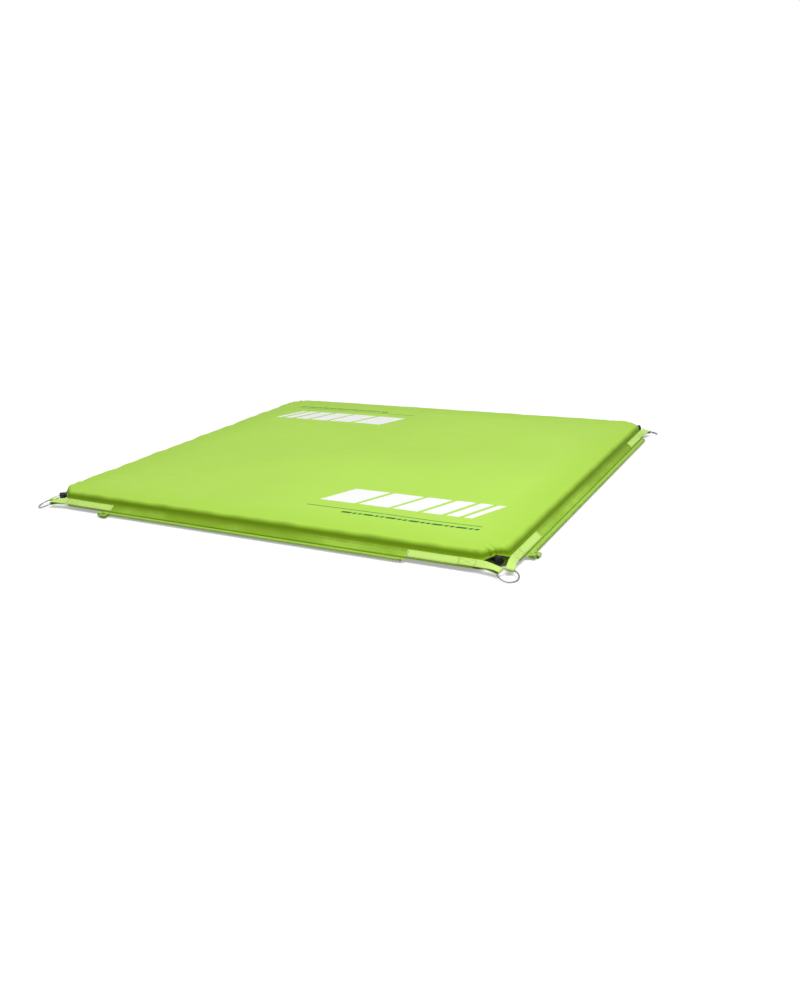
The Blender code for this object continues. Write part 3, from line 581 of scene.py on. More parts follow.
def moulded_plastic(name, colour, roughness, grain=0.00003, **inputs):
    """Injection moulding: fine grain, faint flow marks and handling wear."""
    made = Surface(name, colour, roughness, **inputs)
    colour = made.tones(made.patches(45, 3), colour, 0.88, 1.12)
    wear = made.patches(120, 4, 0.3, 0.7, roughness - 0.08, roughness + 0.1)
    return made.finish(colour, [(made.noise(1500, 2), grain)], wear)


def painted_metal(name, wear):
    """Lacquered casting, chipped to the bare metal by the given share."""
    made = Surface(name, METAL_LIME, 0.36)
    chips = made.patches(620, 5, 0.70 - wear, 0.72 - wear)
    made.feed(made.shader.inputs["Metallic"], chips)
    lacquer = made.tones(made.patches(70, 3), METAL_LIME, 0.92, 1.06)
    layers = ((chips, -0.00004), (made.noise(900, 2), 0.00001))
    gloss = made.patches(260, 4, 0.3, 0.7, 0.30, 0.44)
    return made.finish(made.mix(chips, lacquer, STEEL), layers, gloss)


def wire_steel():
    """Drawn and polished wire with fine scratches and a few dull spots."""
    made = Surface("steel", STEEL, 0.3, Metallic=1.0)
    scratches = made.noise(90, 6, (1, 1, 14))
    spots = made.patches(240, 4, 0.6, 0.75)
    polish = made.span(scratches, 0.3, 0.7, 0.2, 0.38)
    dull = made.math("ADD", polish, made.times(spots, 0.2))
    return made.finish(made.tones(spots, STEEL, 1, 0.6), [(scratches, 0.00001)], dull)


def sewing_thread():
    made = Surface("thread", THREAD_GREEN, 0.6, Sheen_Weight=0.2)
    twist = made.noise(1800, 2)
    colour = made.tones(made.span(twist, 0.3, 0.7), THREAD_GREEN, 0.8, 1.25)
    return made.finish(colour, [(twist, 0.00005)])


def cell_foam():
    made = Surface("foam", FOAM, 0.95)
    cells = made.node("TexVoronoi", Vector=made.coordinate(), Scale=900)[0]
    # Painted shade in the cells' pits: darker where they sink, lighter on the walls between
    return made.finish(made.mix(cells, FOAM_CELL, FOAM_WALL), [(cells, 0.0003)])


def new_object(name, data):
    made = bpy.data.objects.new(name, data)
    bpy.context.scene.collection.objects.link(made)
    return made


def new_mesh(name, points, faces):
    mesh = bpy.data.meshes.new(name)
    mesh.from_pydata(np.reshape(points, (-1, 3)).tolist(), [], faces)
    return mesh


def add_piece(mesh, material, body="mat", stands_for=(), sharp=180):
    """Adds one visible piece, named like its mesh, that rides on a body of the frame.

    Edges that turn by more than the degrees in sharp aren't smoothed.
    """
    mesh.materials.append(material)
    mesh.shade_smooth()
    mesh.set_sharp_from_angle(angle=radians(sharp))
    piece = new_object(mesh.name, mesh)
    if body:
        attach(piece, body)
    if stands_for:
        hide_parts(*stands_for)
    return piece


def tube_faces(rows, columns, caps=True, flip=False):
    """Four-sided faces between neighbouring closed rows of points, and the two ends."""
    faces = []
    for low in range(0, (rows - 1) * columns, columns):
        for first in range(columns):
            second = (first + 1) % columns
            faces.append((low + first, low + second, low + columns + second, low + columns + first))
    if caps:
        faces.append(tuple(reversed(range(columns))))
        faces.append(tuple(range((rows - 1) * columns, rows * columns)))
    return [tuple(reversed(face)) for face in faces] if flip else faces


def solid(rows, flip=False):
    """Points and faces of a closed form through these rows."""
    count, columns, _ = np.shape(rows)
    return np.reshape(rows, (-1, 3)), tube_faces(count, columns, True, flip)


def lofted(name, rows, uv=None, caps=True, flip=False):
    """Mesh through closed rows of points. uv gives each point's place on the flat cloth."""
    count, columns, _ = np.shape(rows)
    mesh = new_mesh(name, rows, tube_faces(count, columns, caps, flip))
    if uv is not None:
        layer = mesh.uv_layers.new(name="cloth")
        corners = np.zeros(len(mesh.loops), np.int32)
        mesh.loops.foreach_get("vertex_index", corners)
        places = np.reshape(uv, (-1, 2)).astype(np.float32)
        layer.data.foreach_set("uv", places[corners].ravel())
    return mesh


def moved(points, matrix):
    """Points, rows of three numbers, after a matrix."""
    turn = np.array(matrix, float)
    return points @ turn[:3, :3].T + turn[:3, 3]


def row_of(*parts):
    """One row of points from its coordinates, each of them a list or the same number for all."""
    return np.column_stack(np.broadcast_arrays(*parts))


def turns(count):
    """Angles of even steps once round."""
    return 2 * pi * np.arange(count) / count


class Batch:
    """Many small forms, gathered in one mesh."""

    def __init__(self):
        self.points = []
        self.faces = []
        self.count = 0

    def add(self, points, faces, place):
        self.faces += [tuple(index + self.count for index in face) for face in faces]
        self.points.append(moved(points, place))
        self.count += len(points)

    def mesh(self, name):
        return new_mesh(name, np.concatenate(self.points), self.faces)


def waves(places, depth, lengths, phase):
    """Sum of sines of these lengths, no deeper than depth, the same on each run."""
    total = np.zeros_like(places)
    for index, length in enumerate(lengths):
        total += np.sin(2 * pi * places / length + phase * (1.7 + index) + 2.4 * index)
    return depth * total / len(lengths)


def smooth(values, low, high):
    """0 below low, 1 above high and an easy rise between."""
    share = np.clip((values - low) / (high - low), 0, 1)
    return share * share * (3 - 2 * share)


def band(values, low, full, fade, high):
    """1 between full and fade, with an easy way to 0 at low and at high."""
    return smooth(values, low, full) * (1 - smooth(values, fade, high))


def wall_waves(along, side, inset, depth, lengths, shift, insets):
    return band(inset, *insets) * waves(along, depth, lengths, side * shift)


def signed_power(values, power):
    return np.sign(values) * np.abs(values) ** power


def cover_ring(out, corner_out, side_steps=SIDE_STEPS, chamfer_steps=CHAMFER_STEPS):
    """Plan of one ring of the cover, a quarter at a time, from the middle of the front.

    Gives the points, how much each belongs to its cut corner, from 0 to 1, and how far along
    the chamfer it is.
    """
    half = HALF_SEAM + out
    leg = max(CHAMFER - DIAGONAL * corner_out + 2 * out, SHORTEST_LEG)
    bend = min(CORNER_RADIUS, leg)
    run = bend * tan(EIGHTH / 2)
    low = leg + run - half
    share = np.arange(side_steps) / side_steps
    turn = np.arange(BEND_STEPS + 1) / BEND_STEPS
    first = EIGHTH * turn - QUARTER
    second = EIGHTH * turn - EIGHTH
    reach = leg - DIAGONAL * run
    cut = half - leg + run / DIAGONAL + reach * np.arange(1, chamfer_steps) / chamfer_steps
    x = [-low * share, bend * np.cos(first) - low, cut, half - bend + bend * np.cos(second)]
    x = np.concatenate((*x, np.full(side_steps - 1, half)))
    y = [np.full(side_steps, -half), bend - half + bend * np.sin(first), cut + leg - 2 * half]
    y = np.concatenate((*y, low + bend * np.sin(second), low * (1 - share[1:])))
    belongs = (0 * share, turn, np.ones(chamfer_steps - 1), 1 - turn, 0 * share[1:])
    line = [row_of(*place) for place in ((x, y), (-y, x), (-x, -y), (y, -x))]
    across = (x + y) / DIAGONAL
    return np.concatenate(line), np.tile(np.concatenate(belongs), 4), np.tile(across, 4)


def opening(across):
    """Half the height by which a valve parts the sheets, along the chamfer."""
    share = np.clip(np.abs(across) / VALVE_HALF_LENGTH, 0, 1)
    return VALVE_HALF_HEIGHT * (1 - share**2)


def wall_places(rise):
    """Angle, inset, height and length up the wall, at the rows from seam to ridge."""
    last = (0.0, 0.0)
    length = 0.0
    places = []
    for step in range(1, WALL_ROWS + 1):
        angle = QUARTER * (step / WALL_ROWS) ** WALL_SPACING
        place = (WALL_RUN * (1 - cos(angle) ** FULLNESS), rise * sin(angle) ** FULLNESS)
        length += sqrt((place[0] - last[0]) ** 2 + (place[1] - last[1]) ** 2)
        places.append((angle, *place, length))
        last = place
    return places


def cover_rows(side, rise, insets):
    """Rows of the top sheet (side 1) or bottom one (-1), from the flange's edge to the middle.

    Gives their points, the same laid flat, each point's distance down from the seam, share of
    corner and place along the chamfer, and how much longer the wall is than its run.
    """
    wall = wall_places(rise)
    longer = wall[-1][-1] - WALL_RUN
    rings = []
    for step in range(FLANGE_ROWS):
        share = 1 - step / FLANGE_ROWS
        rings.append((FLANGE_RUN * share, CORNER_LIP * share, side * FLANGE_TOP, 1, FLANGE * share))
    for angle, inset, height, length in wall:
        spread = (1 - angle / QUARTER) ** OPENING_FADE
        rings.append((-inset, -inset, side * height, spread, -length))
    for inset, height in insets:
        rings.append((-inset, -inset, side * rise + height, 0, -inset - longer))
    rows = []
    flat = []
    zones = []
    for out, corner_out, lift, spread, down in rings:
        plan, belongs, across = cover_ring(out, corner_out)
        ease = smooth(belongs, 0, 1)
        tilt = cos(FLANGE_DROOP) if out > 0 else 1
        past_seam = np.maximum(0, np.abs(plan).max(1) - HALF_SEAM)
        height = SEAM_HEIGHT - past_seam * tan(FLANGE_DROOP)
        height += lift / tilt + (lift - lift / tilt) * ease
        height += side * spread * opening(across)
        rows.append(row_of(*plan.T, height))
        flat.append(cover_ring(longer + down, longer + min(down, CORNER_LIP * down / FLANGE))[0])
        # On the flange the distance fades to 0 at the cut corners, which keeps their lip out of the
        # flange's painted shade and weld band
        zones.append(row_of(down * (1 - ease) if down > 0 else down, belongs, across))
    return np.array(rows), np.array(flat), np.moveaxis(zones, 2, 0), longer


def normals_of(rows):
    """Unit normals of closed rows of points."""
    along = np.roll(rows, -1, 1) - np.roll(rows, 1, 1)
    up = np.gradient(rows, axis=0)
    normal = np.cross(along, up)
    return normal / np.maximum(np.linalg.norm(normal, axis=2, keepdims=True), 1e-9)


def side_place(rows):
    """How far along its side each point lies, which side is nearest, and its inset."""
    x, y = rows[..., 0], rows[..., 1]
    front = np.abs(y) >= np.abs(x)
    along = np.where(front, x, y)
    side = np.where(front, np.where(y < 0, 0, 2), np.where(x > 0, 1, 3))
    return along, side, HALF_SEAM - np.maximum(np.abs(x), np.abs(y))


def flange_ripple(along, side, down):
    """Gentle waves square to the flange between the straps, none at its root or edge."""
    share = np.clip(down / FLANGE, 0, 1)
    free = smooth(HALF_SEAM - STRAP_START - RIPPLE_GAP - np.abs(along), 0, RIPPLE_RISE)
    return free * np.sin(pi * share) ** 1.5 * waves(along, *RIPPLES, side * 2.1 + 0.4)


def crown_height(inset):
    share = np.clip((inset - WALL_RUN) / (CROWN_FULL - WALL_RUN), 0, 1)
    return CROWN * (1 - (1 - share) ** CROWN_POWER)


def add_sheet(place, rows, flat, zone, side, fabric):
    """One sheet from its outer face: closed in its middle and given its thickness inward."""
    mesh = lofted(f"cover_{place}", rows, flat, caps=False, flip=side < 0)
    shape = bmesh.new()
    shape.from_mesh(mesh)
    shape.verts.ensure_lookup_table()
    inner = [shape.verts[index] for index in range(-rows.shape[1], 0)]
    middle = shape.verts.new(rows[-1].mean(0))
    layer = shape.loops.layers.uv["cloth"]
    for first, second in zip(inner, inner[1:] + inner[:1]):
        corners = (second, first, middle) if side < 0 else (first, second, middle)
        for loop in shape.faces.new(corners).loops:
            loop[layer].uv = loop.vert.co.xy
    shape.to_mesh(mesh)
    shape.free()
    kept = mesh.attributes.new(ZONE, "FLOAT", "POINT")
    kept.data.foreach_set("value", np.append(zone.ravel(), zone.min()).astype(np.float32))
    piece = add_piece(mesh, fabric, stands_for=[f"{place}_cover"])
    shell = piece.modifiers.new("thickness", "SOLIDIFY")
    shell.thickness = SHEET
    shell.offset = -1


def build_top_sheet(fabric):
    insets = [(inset, crown_height(inset)) for inset in CROWN_INSETS]
    rows, flat, (down, belongs, across), longer = cover_rows(1, WALL_RISE, insets)
    place = side_place(rows)
    along, side, inset = place
    calm = np.where(side == 2, BACK_CALM, 1.0)
    near = smooth(np.abs(along), *END_RUN)
    move = calm * wall_waves(*place, *RIDGE_WAVES) + wall_waves(*place, *PUCKERS)
    move += near * wall_waves(*place, *END_PUCKERS)
    x, y = rows[..., 0], rows[..., 1]
    long, wide, slanted = SWELL_LENGTHS
    swell = np.sin(2 * pi * x / long + 1.1) * np.sin(2 * pi * y / wide + 0.4)
    swell += 0.6 * np.sin(2 * pi * (x + 0.6 * y) / slanted + 2.0)
    move = (1 - belongs) * move + smooth(inset, *SWELL_RUN) * SWELL * swell
    move += flange_ripple(along, side, down) + corner_folds(down + longer, across, x, y)
    rows += normals_of(rows) * move[..., None]
    add_sheet("top", rows, flat, down, 1, fabric)


def corner_folds(unrolled, across, x, y):
    """Puckers that fan out from the valve where the taut sheet is drawn over it.

    Each corner has its own, and the front right one, which is used most, the deepest.
    """
    width, widening = FOLD_SPREAD
    spread = width + widening * np.clip(-unrolled, 0, FOLD_REACH)
    share = across / spread
    near = np.exp(-(share**2) * 1.3) * band(unrolled, *FOLD_BAND)
    turn = np.where(x > 0, 0.0, 1.3) + np.where(y < 0, 0.0, 2.1)
    depth = np.where((x > 0) & (y < 0), USED_FOLD_DEPTH, FOLD_DEPTH)
    folds = 0
    for size, rate, shift, way in FOLD_WAVES:
        folds += size * np.cos(share * rate + shift + way * turn)
    return -depth * signed_power(folds, 1.3) * near


def build_bottom_sheet(fabric):
    insets = [(inset, 0) for inset in CROWN_INSETS[::2]]
    rows, flat, (down, belongs, _), _ = cover_rows(-1, SEAM_HEIGHT, insets)
    place = side_place(rows)
    along, side, inset = place
    move = flange_ripple(along, side, down) - (1 - belongs) * wall_waves(*place, *LOW_PUCKERS)
    dents = smooth(inset, *DENT_RUN) * (0.5 + 0.5 * np.sin(9 * along) * np.sin(7 * inset))
    rows += normals_of(rows) * move[..., None]
    rows[..., 2] += DENTS * dents
    add_sheet("bottom", rows, flat, down, -1, fabric)


def build_foam(material):
    rows = []
    for side, rise in ((-1, SEAM_HEIGHT), (1, WALL_RISE)):
        part = []
        for step in range(FOAM_ROWS):
            angle = QUARTER * (step + 0.5) / FOAM_ROWS
            inset = WALL_RUN - (WALL_RUN - FOAM_INSET) * cos(angle)
            plan, _, _ = cover_ring(-inset, -inset - VALVE_ROOM, *FOAM_STEPS)
            height = SEAM_HEIGHT + side * (rise - FOAM_INSET) * sin(angle)
            part.append(row_of(*plan.T, height))
        rows += part[::-1] if side < 0 else part
    mesh = lofted("foam_pad", rows)
    piece = add_piece(mesh, material, stands_for=["foam_core"])


def webbing_section():
    """Flat faces and rounded edges, as (across, out) pairs."""
    upper = []
    for share in STRIP_SHARES:
        upper.append((share * WEBBING_WIDTH / 2, WEBBING / 2 * sqrt(1 - abs(share) ** 14)))
    return upper + [(across, -out) for across, out in upper[-2:0:-1]]


def tail_stations():
    """Middle line of the strap's two free layers: place, width and normal, to the ring."""
    flange = side_frame(0, *ON_FLANGE)
    ring = ring_frame(0)
    turn = ring.to_3x3()
    radial = Vector((cos(LOOP_ANGLE), sin(LOOP_ANGLE), 0))
    layers = FLANGE_TOP + CLEARANCE + WEBBING + HALF_GAP
    start = flange @ Vector((HALF_SEAM - STRAP_FREE, -STRAP_DOWN, layers))
    end = ring @ (radial * (RING_RADIUS - LOOP_SHIFT))
    start_way = Vector((1, 0, 0))
    end_way = turn @ -radial
    start_normal = flange.to_3x3() @ Vector((0, 0, 1))
    end_normal = turn @ Vector((0, 0, 1))
    reach = (end - start).length
    stations = []
    for step in range(TAIL_STEPS + 1):
        share = step / TAIL_STEPS
        ease = share * share * (3 - 2 * share)
        place = start.lerp(end, ease)
        place += start_way * reach * share * (1 - share) ** 2
        place -= end_way * reach * share**2 * (1 - share)
        way = start_way.lerp(end_way, ease)
        normal = start_normal.lerp(end_normal, ease)
        width = normal.cross(way).normalized()
        normal = way.cross(width).normalized()
        stations.append((place, width, normal, ease))
    return stations, end_way


def strap_path():
    """Webbing from its inner end, round the ring and back: place, width and outward."""
    stations, end_way = tail_stations()
    flat_gap = (WEBBING + CLEARANCE) / 2
    lower = []
    upper = []
    for place, width, up, ease in stations:
        gap = up * (flat_gap + (LOOP_RADIUS - flat_gap) * ease)
        lower.append((place - gap, width, -up))
        upper.append((place + gap, width, up))
    loop = []
    middle, width, up, _ = stations[-1]
    for step in range(1, LOOP_STEPS):
        angle = pi * step / LOOP_STEPS - QUARTER
        out = end_way * cos(angle) + up * sin(angle)
        loop.append((middle + out * LOOP_RADIUS, width, out))
    begin = along_flange(lower[0], STRAP_START - STRAP_FREE)
    back = along_flange(upper[0], STRAP_FOLD - STRAP_FREE)
    return begin[::-1] + lower + loop + upper[::-1] + back


def along_flange(first, length):
    """Places that carry on from the first one back along the flange for this length."""
    place, width, out = first
    count = round(length / STRAP_PITCH)
    step = Vector((length / count, 0, 0))
    return [(place - step * index, width, out) for index in range(1, count + 1)]


def strap_rows():
    """Rows of the strap on a corner's first side and its places on the flat webbing."""
    wide, thick = np.transpose(webbing_section())
    path = strap_path()
    rows = []
    flat = []
    length = 0
    for (last, *_), (place, across, out) in zip(path[:1] + path, path):
        length += (place - last).length
        rows.append(np.array(place) + np.outer(wide, across) + np.outer(thick, out))
        flat.append(row_of(length, wide))
    return np.array(rows), np.array(flat)


def build_straps(corner, material):
    """The corner's two straps, whose loops wrap round the ring."""
    rows, flat = strap_rows()
    stations, _ = tail_stations()
    sides = (SIDES[corner], SIDES[(corner + 1) % 4])
    mirror = Matrix(((0, -1, 0, 0), (-1, 0, 0, 0), (0, 0, 1, 0), (0, 0, 0, 1)))
    for names, flip in ((sides, Matrix.Identity(4)), (sides[::-1], mirror)):
        place = turn_to_side(corner) @ flip
        name = "_".join(names)
        mesh = lofted(f"webbing_{name}", moved(rows, place), flat, flip=flip is mirror)
        piece = add_piece(mesh, material, None, [f"strap_{name}"])
        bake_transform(piece)


def stitch_shape(length):
    """One thread stitch along X, half sunk."""
    across = STITCH_WIDTH / 2 * np.cos(turns(STITCH_SIDES))
    up = STITCH_HEIGHT * np.sin(turns(STITCH_SIDES))
    return solid([row_of(along * length / 2, across * size, up * size) for along, size in STITCH_SHAPE])


def sew(batch, place, start, end, pitch, rise, share=STITCH_SHARE, side=None):
    """A run of stitches between two points of a flange, lying at the given rise.

    Where the side is given, they follow the ripples of the flange itself.
    """
    start, end = Vector(start), Vector(end)
    reach = (end - start).length
    count = max(1, round(reach / pitch))
    way = (end - start).normalized()
    turn = Matrix.Rotation(np.arctan2(way.y, way.x), 4, "Z")
    stitch = stitch_shape(reach / count * share)
    for step in range(count):
        spot = start.lerp(end, (step + 0.5) / count)
        lift = rise
        if side is not None:
            along = np.array(spot.x if side < 2 else -spot.x)
            lift += float(flange_ripple(along, side, np.array(-spot.y)))
        batch.add(*stitch, place @ Matrix.Translation((spot.x, spot.y, lift)) @ turn)


def bar_tack(batch, place, u, half, rise):
    """Close zigzag across a strap."""
    for step in range(TACK_TURNS):
        low = -STRAP_DOWN - half + 2 * half * step / TACK_TURNS
        high = -STRAP_DOWN - half + 2 * half * (step + 1) / TACK_TURNS
        shift = TACK_SHIFT * (-1) ** step
        sew(batch, place, (u - shift, low), (u + shift, high), TACK_PITCH, rise, TACK_SHARE)


def build_stitches(side, name, material):
    """Thread along the flange and across the straps of one side."""
    batch = Batch()
    place = side_frame(side, *ON_FLANGE)
    limit = HALF_SEAM - CHAMFER - FLANGE_RUN - STITCH_GAP
    strap_end = HALF_SEAM - STRAP_START
    tape_line = FLANGE - TAPE_COVER + TAPE_SEAM
    for reach, down in ((limit, FLANGE - STITCH_EDGE), (strap_end - STITCH_GAP, tape_line)):
        ends = ((-reach, -down), (reach, -down))
        sew(batch, place, *ends, FLANGE_STITCH, FLANGE_TOP, side=side)
    single = FLANGE_TOP + CLEARANCE + WEBBING
    double = single + CLEARANCE + WEBBING
    fold = HALF_SEAM - STRAP_FOLD
    half = WEBBING_WIDTH / 2 - STRAP_SELVEDGE
    for end in (-1, 1):
        inner = end * (strap_end + STITCH_GAP)
        first = end * (fold + STITCH_GAP)
        last = end * (HALF_SEAM - STRAP_FREE - STITCH_GAP)
        for way in (-1, 1):
            low, high = -STRAP_DOWN - way * half, -STRAP_DOWN + way * half
            before_fold = end * (fold - FOLD_GAP)
            sew(batch, place, (inner, high), (before_fold, high), STRAP_STITCH, single)
            sew(batch, place, (first, high), (last, high), STRAP_STITCH, double)
            sew(batch, place, (first, low), (last, high), STRAP_STITCH, double)
        for u, rise in ((inner, single), (first, double), (last, double)):
            bar_tack(batch, place, u, half, rise)
    add_piece(batch.mesh(f"stitches_{name}"), material)


def tape_section():
    """The tape's section, which bends at the flange's edge, and the distances across it."""
    bend = FLANGE_DROOP - ZIP_DROOP
    reach = TAPE_COVER + TAPE_BEND
    centre = [(BEAD_MIDDLE * (share - 1), 0.0) for share in (0, 0.35, 0.7)]
    for share in (0.12, 0.3, 0.5, 0.75, 1):
        centre.append((reach * cos(bend) * share, reach * sin(bend) * share))
    centre = np.array(centre)
    way = np.gradient(centre, axis=0)
    way /= np.linalg.norm(way, axis=1, keepdims=True)
    square = row_of(-way[:, 1], way[:, 0]) * TAPE / 2
    steps = np.linalg.norm(np.diff(centre, axis=0), axis=1)
    distance = np.append(0, np.cumsum(steps))
    section = np.concatenate((centre + square, (centre - square)[::-1]))
    return section, np.append(distance, distance[::-1])


def build_zip(side, name, cloth, plastic):
    """Woven tape, and a moulded bead with its teeth."""
    low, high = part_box(f"zip_half_{name}")
    axis = side % 2
    direction = 1 if side < 2 else -1  # along X, from the bead's start at its box or pin
    start = direction * (low[axis] + TAPE_TAIL)
    length = high[axis] - low[axis] - 2 * TAPE_TAIL
    place = side_frame(side, *ON_ZIP)
    section, across = tape_section()
    tail = direction * TAPE_TAIL
    rows = []
    flat = []
    for x in np.linspace(start - tail, start + direction * length + tail, TAPE_STEPS + 1):
        rows.append(row_of(x, *section.T))
        flat.append(row_of(x, across))
    mesh = lofted(f"tape_{name}", moved(np.array(rows), place), flat, flip=direction > 0)
    add_piece(mesh, cloth, stands_for=[f"zip_half_{name}"])
    plain = BOX_GRIP if side < 2 else PIN_LENGTH
    room = length - plain - STOP_LENGTH
    teeth = int(room / TOOTH_PITCH)
    first = plain + (room - teeth * TOOTH_PITCH + TOOTH_PITCH) / 2
    batch = Batch()
    batch.add(*bead_shape(start, direction, length, first, teeth), place)
    shape = tooth_shape()
    for tooth in range(teeth):
        shift = start + direction * (first + tooth * TOOTH_PITCH)
        batch.add(*shape, place @ Matrix.Translation((shift, 0, 0)))
    add_piece(batch.mesh(f"teeth_{name}"), plastic)


def bead_shape(start, direction, length, first, teeth):
    """Moulded cord along the tape's edge, fuller at each tooth."""
    y = BEAD_WIDTH / 2 * signed_power(np.cos(turns(BEAD_SIDES)), BEAD_SQUARE) - BEAD_MIDDLE
    z = BEAD_THICKNESS / 2 * signed_power(np.sin(turns(BEAD_SIDES)), BEAD_SQUARE)
    count = round(length / BEAD_STEP)
    rows = []
    for step in range(count + 1):
        along = length * step / count
        phase = (along - first) / TOOTH_PITCH
        toothed = -0.5 < phase < teeth - 0.5
        full = min(1, 0.75 + 0.75 * cos(2 * pi * phase)) if toothed else 1
        swell = BEAD_WAIST + (1 - BEAD_WAIST) * full
        rows.append(row_of(start + direction * along, y, swell * z))
    return solid(rows, flip=direction < 0)


def tooth_shape():
    """A moulded tooth: broad root, narrower neck and rounded head, with softened faces."""
    outline = np.array(TOOTH_OUTLINE)
    x, y = np.concatenate((outline, outline[::-1] * (-1, 1))).T
    middle = (y[0] + TOOTH_LENGTH) / 2
    rows = []
    for z, shrink in TOOTH_LEVELS:
        out = BEAD_END + middle + (y - middle) * (0.5 + shrink / 2)
        rows.append(row_of(x * shrink, -out, z))
    return solid(rows, flip=True)


def turned(profile, segments, radius_change=None):
    """Turns (along X, radius) pairs round the X axis."""
    angle = turns(segments)
    rows = []
    for along, radius in profile:
        size = radius_change(along, radius, angle) if radius_change else radius
        rows.append(row_of(along, size * np.cos(angle), size * np.sin(angle)))
    return solid(rows, flip=True)


def outward(mesh):
    """Turns every face to the outside."""
    shape = bmesh.new()
    shape.from_mesh(mesh)
    bmesh.ops.recalc_face_normals(shape, faces=shape.faces)
    shape.to_mesh(mesh)
    shape.free()
    return mesh


def build_ring(corner, name, material):
    """Bent wire with the bead of its butt weld inside one strap's loop."""
    around = turns(RING_SIDES)
    rows = []
    for angle in turns(RING_STEPS):
        from_weld = abs((angle - LOOP_ANGLE + pi) % (2 * pi) - pi)
        swell = 1
        for turn, spread, share in WELD_BEAD:
            swell += share * np.exp(-(((from_weld - turn) / spread) ** 2))
        wire = RING_WIRE / 2 * swell
        radius = RING_RADIUS + wire * np.cos(around)
        rows.append(row_of(radius * cos(angle), radius * sin(angle), wire * np.sin(around)))
    points = moved(np.concatenate(rows), ring_frame(corner))
    faces = tube_faces(RING_STEPS + 1, RING_SIDES, caps=False)
    faces = [tuple(index % len(points) for index in face) for face in faces]
    mesh = outward(new_mesh(f"ring_{name}", points, faces))
    node = f"corner_ring_{name}"
    add_piece(mesh, material, node, [node])


def build_valve(corner, name, plastic):
    """Lens-shaped seam filler with a rim, and its threaded stem."""
    place = valve_frame(corner)
    rows = []
    for share in np.linspace(-VALVE_TIP, VALVE_TIP, VALVE_STEPS + 1):
        along = share * VALVE_HALF_LENGTH
        half = max(opening(along), THINNEST_VALVE)
        lip = min(VALVE_LIP, half * 0.4)
        section = [(VALVE_OUTER - back, half - lip * drop) for back, drop in VALVE_RIM]
        section += [(x, -z) for x, z in reversed(section)]
        rows.append([(x, along, z) for x, z in section])
    profile = [(VALVE_OUTER + along, STEM_RADIUS + out) for along, out in STEM_FOOT]
    for start in np.arange(*THREAD_RUN):
        profile += [(start + along, STEM_RADIUS - depth) for along, depth in THREAD_SHAPE]
    profile += [(STEM_END - back, STEM_RADIUS - inward) for back, inward in STEM_HEAD]
    batch = Batch()
    batch.add(*solid(rows), place)
    batch.add(*turned(profile, STEM_STEPS), place)
    mesh = outward(batch.mesh(f"valve_{name}"))
    node = f"valve_body_{name}"
    add_piece(mesh, plastic, "mat", [node], VALVE_SHARP)


def scallop(along, radius, angle):
    """Radius of the knob, whose outer side is grooved between its two ends."""
    side = GROOVE_RUN[0] < along < GROOVE_RUN[1] and radius > KNOB_CAVITY + 0.001
    depth = KNOB_GROOVE * (0.5 - 0.5 * np.cos(KNOB_RIBS * angle)) ** GROOVE_POWER
    return radius - depth if side else radius


def build_knob(corner, name, plastic):
    """Scalloped knob with a dished end and a raised grip across it."""
    place = valve_frame(corner)
    angle = turns(GRIP_STEPS)
    long = signed_power(np.cos(angle), GRIP_SQUARE[0])
    wide = signed_power(np.sin(angle), GRIP_SQUARE[1])
    grip = [row_of(KNOB_END - low, length * long, width * wide) for low, length, width in GRIP]
    batch = Batch()
    batch.add(*turned(KNOB_PROFILE, KNOB_STEPS, scallop), place)
    batch.add(*solid(grip), place)
    mesh = outward(batch.mesh(f"knob_{name}"))
    node = f"valve_knob_{name}"
    add_piece(mesh, plastic, node, [node], KNOB_SHARP)


def build_refined(node, name, width, slot, material, body="mat", edge_material=None):
    """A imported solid's own shape with soft edges, which may have a finish of their own."""
    shape = bmesh.new()
    shape.from_mesh(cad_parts[node].data)
    bmesh.ops.remove_doubles(shape, verts=shape.verts, dist=MERGED)
    bmesh.ops.dissolve_limit(
        shape, angle_limit=radians(1), verts=shape.verts, edges=shape.edges
    )
    bmesh.ops.bevel(
        shape,
        geom=[edge for edge in shape.edges if edge.calc_face_angle(0) > BEVELLED],
        offset=width,
        segments=3,
        profile=0.5,
        affect="EDGES",
        clamp_overlap=True,
        material=1 if edge_material else -1,
    )
    many_sided = [face for face in shape.faces if len(face.verts) > 4]
    bmesh.ops.triangulate(shape, faces=many_sided)
    mesh = bpy.data.meshes.new(name)
    shape.to_mesh(mesh)
    shape.free()
    piece = add_piece(mesh, material, body, [node], REFINED_SHARP)
    if edge_material:
        mesh.materials.append(edge_material)
    even = piece.modifiers.new("flat_faces", "WEIGHTED_NORMAL")
    even.keep_sharp = True


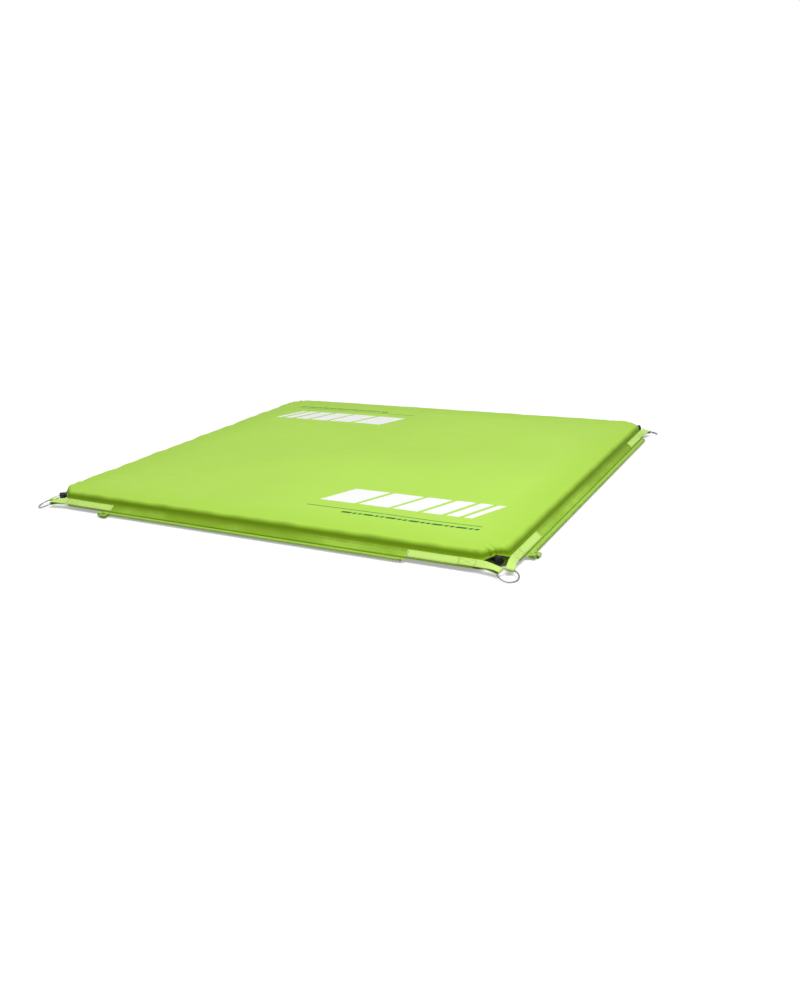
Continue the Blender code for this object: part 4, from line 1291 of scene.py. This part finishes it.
def build_stage():
    """Pale floor that fades to white, and a white surround for the camera and reflections."""
    corners = ((-1, -1), (1, -1), (1, 1), (-1, 1))
    points = [(x * FLOOR_REACH, y * FLOOR_REACH, FLOOR_HEIGHT) for x, y in corners]
    mesh = new_mesh("floor", points, [(0, 1, 2, 3)])
    floor = new_object("floor", mesh)
    made = Surface("floor", (FLOOR_TONE,) * 3, 0.9, Specular_IOR_Level=0.0)
    seen = made.seen()
    x, y, _ = made.split()
    distance = made.math("SQRT", made.math("ADD", made.times(x, x), made.times(y, y)))
    glow = made.times(seen, made.span(distance, *FLOOR_FADE, FLOOR_GLOW, 1.0))
    light = made.node("Emission", Strength=glow)[0]
    tone = made.mix(seen, (FLOOR_BOUNCE,) * 3, (FLOOR_TONE,) * 3)
    made.feed(made.shader.inputs["Base Color"], tone)
    both = made.node("AddShader", made.shader.outputs[0], light)[0]
    made.feed(made.tree.nodes["Material Output"].inputs["Surface"], both)
    mesh.materials.append(made.material)

    world = bpy.data.worlds.new("studio")
    bpy.context.scene.world = world
    world.use_nodes = True
    made = Nodes(world.node_tree)
    dim = made.tree.nodes["Background"]
    dim.inputs["Color"].default_value = (1, 1, 1, 1)
    dim.inputs["Strength"].default_value = FILL_LIGHT
    bright = made.node("Background", (1, 1, 1, 1), 1)[0]
    mixed = made.node("MixShader", made.seen(), dim.outputs[0], bright)[0]
    made.feed(made.tree.nodes["World Output"].inputs["Surface"], mixed)


def build_lamp():
    """One large soft lamp, high over the near right corner and aimed at the mat's middle."""
    lamp = bpy.data.lights.new("key", "AREA")
    lamp.shape = "DISK"
    lamp.size = LAMP_SIZE
    lamp.energy = LAMP_POWER
    holder = new_object("key", lamp)
    holder.location = LAMP_PLACE
    holder.rotation_euler = (-Vector(LAMP_PLACE)).to_track_quat("-Z", "Y").to_euler()


def build_camera():
    """Stands where the photograph was taken, and frames what it shows."""
    lens = bpy.data.cameras.new("camera")
    lens.sensor_fit = "VERTICAL"
    lens.sensor_height = SENSOR
    lens.lens = SENSOR * FOCAL_PIXELS / LONG_SIDE
    lens.shift_x = (FRAME_MIDDLE - MIDDLE_PIXEL) / LONG_SIDE
    holder = new_object("camera", lens)
    turn = Matrix((CAMERA_RIGHT, CAMERA_UP, CAMERA_BACK)).transposed().to_4x4()
    holder.matrix_world = Matrix.Translation(CAMERA_PLACE) @ turn
    bpy.context.scene.camera = holder


bpy.context.scene.view_settings.view_transform = "Standard"
build_camera()
build_stage()
build_lamp()

webbing = webbing_cloth()
tape = tape_cloth()
tooth_plastic = moulded_plastic("zip_plastic", TOOTH_LIME, 0.42)
paint = painted_metal("slider_paint", 0.0)
worn_paint = painted_metal("slider_edge", 0.10)
steel = wire_steel()
black_plastic = moulded_plastic("valve_plastic", BLACK, 0.36, Specular_IOR_Level=0.22)
rubber = moulded_plastic("seal_rubber", RUBBER, 0.7, 0.00005)
thread = sewing_thread()

build_foam(cell_foam())
build_top_sheet(coated_fabric("cover_fabric_printed", printed=True))
build_bottom_sheet(coated_fabric("cover_fabric"))
for side, name in enumerate(SIDES):
    build_zip(side, name, tape, tooth_plastic)
    build_stitches(side, name, thread)
    build_refined(f"top_stop_{name}", f"stop_{name}", STOP_EDGE, "zip_plastic", tooth_plastic)
for name in SIDES[:2]:
    build_refined(f"retainer_box_{name}", f"box_{name}", FITTING_EDGE, "zip_plastic", tooth_plastic)
    for body, piece in ((f"slider_{name}", "slider"), (f"pull_tab_{name}", "pull")):
        metal = ("slider_metal", paint, body, worn_paint)
        build_refined(body, f"zip_{piece}_{name}", FITTING_EDGE, *metal)
for name in SIDES[2:]:
    build_refined(f"insertion_pin_{name}", f"pin_{name}", PIN_EDGE, "zip_plastic", tooth_plastic)
for corner, name in enumerate(CORNERS):
    build_straps(corner, webbing)
    build_ring(corner, name, steel)
    build_valve(corner, name, black_plastic)
    build_knob(corner, name, black_plastic)
    body = f"valve_seal_{name}"
    build_refined(body, f"seal_{name}", SEAL_EDGE, "seal_rubber", rubber, body)
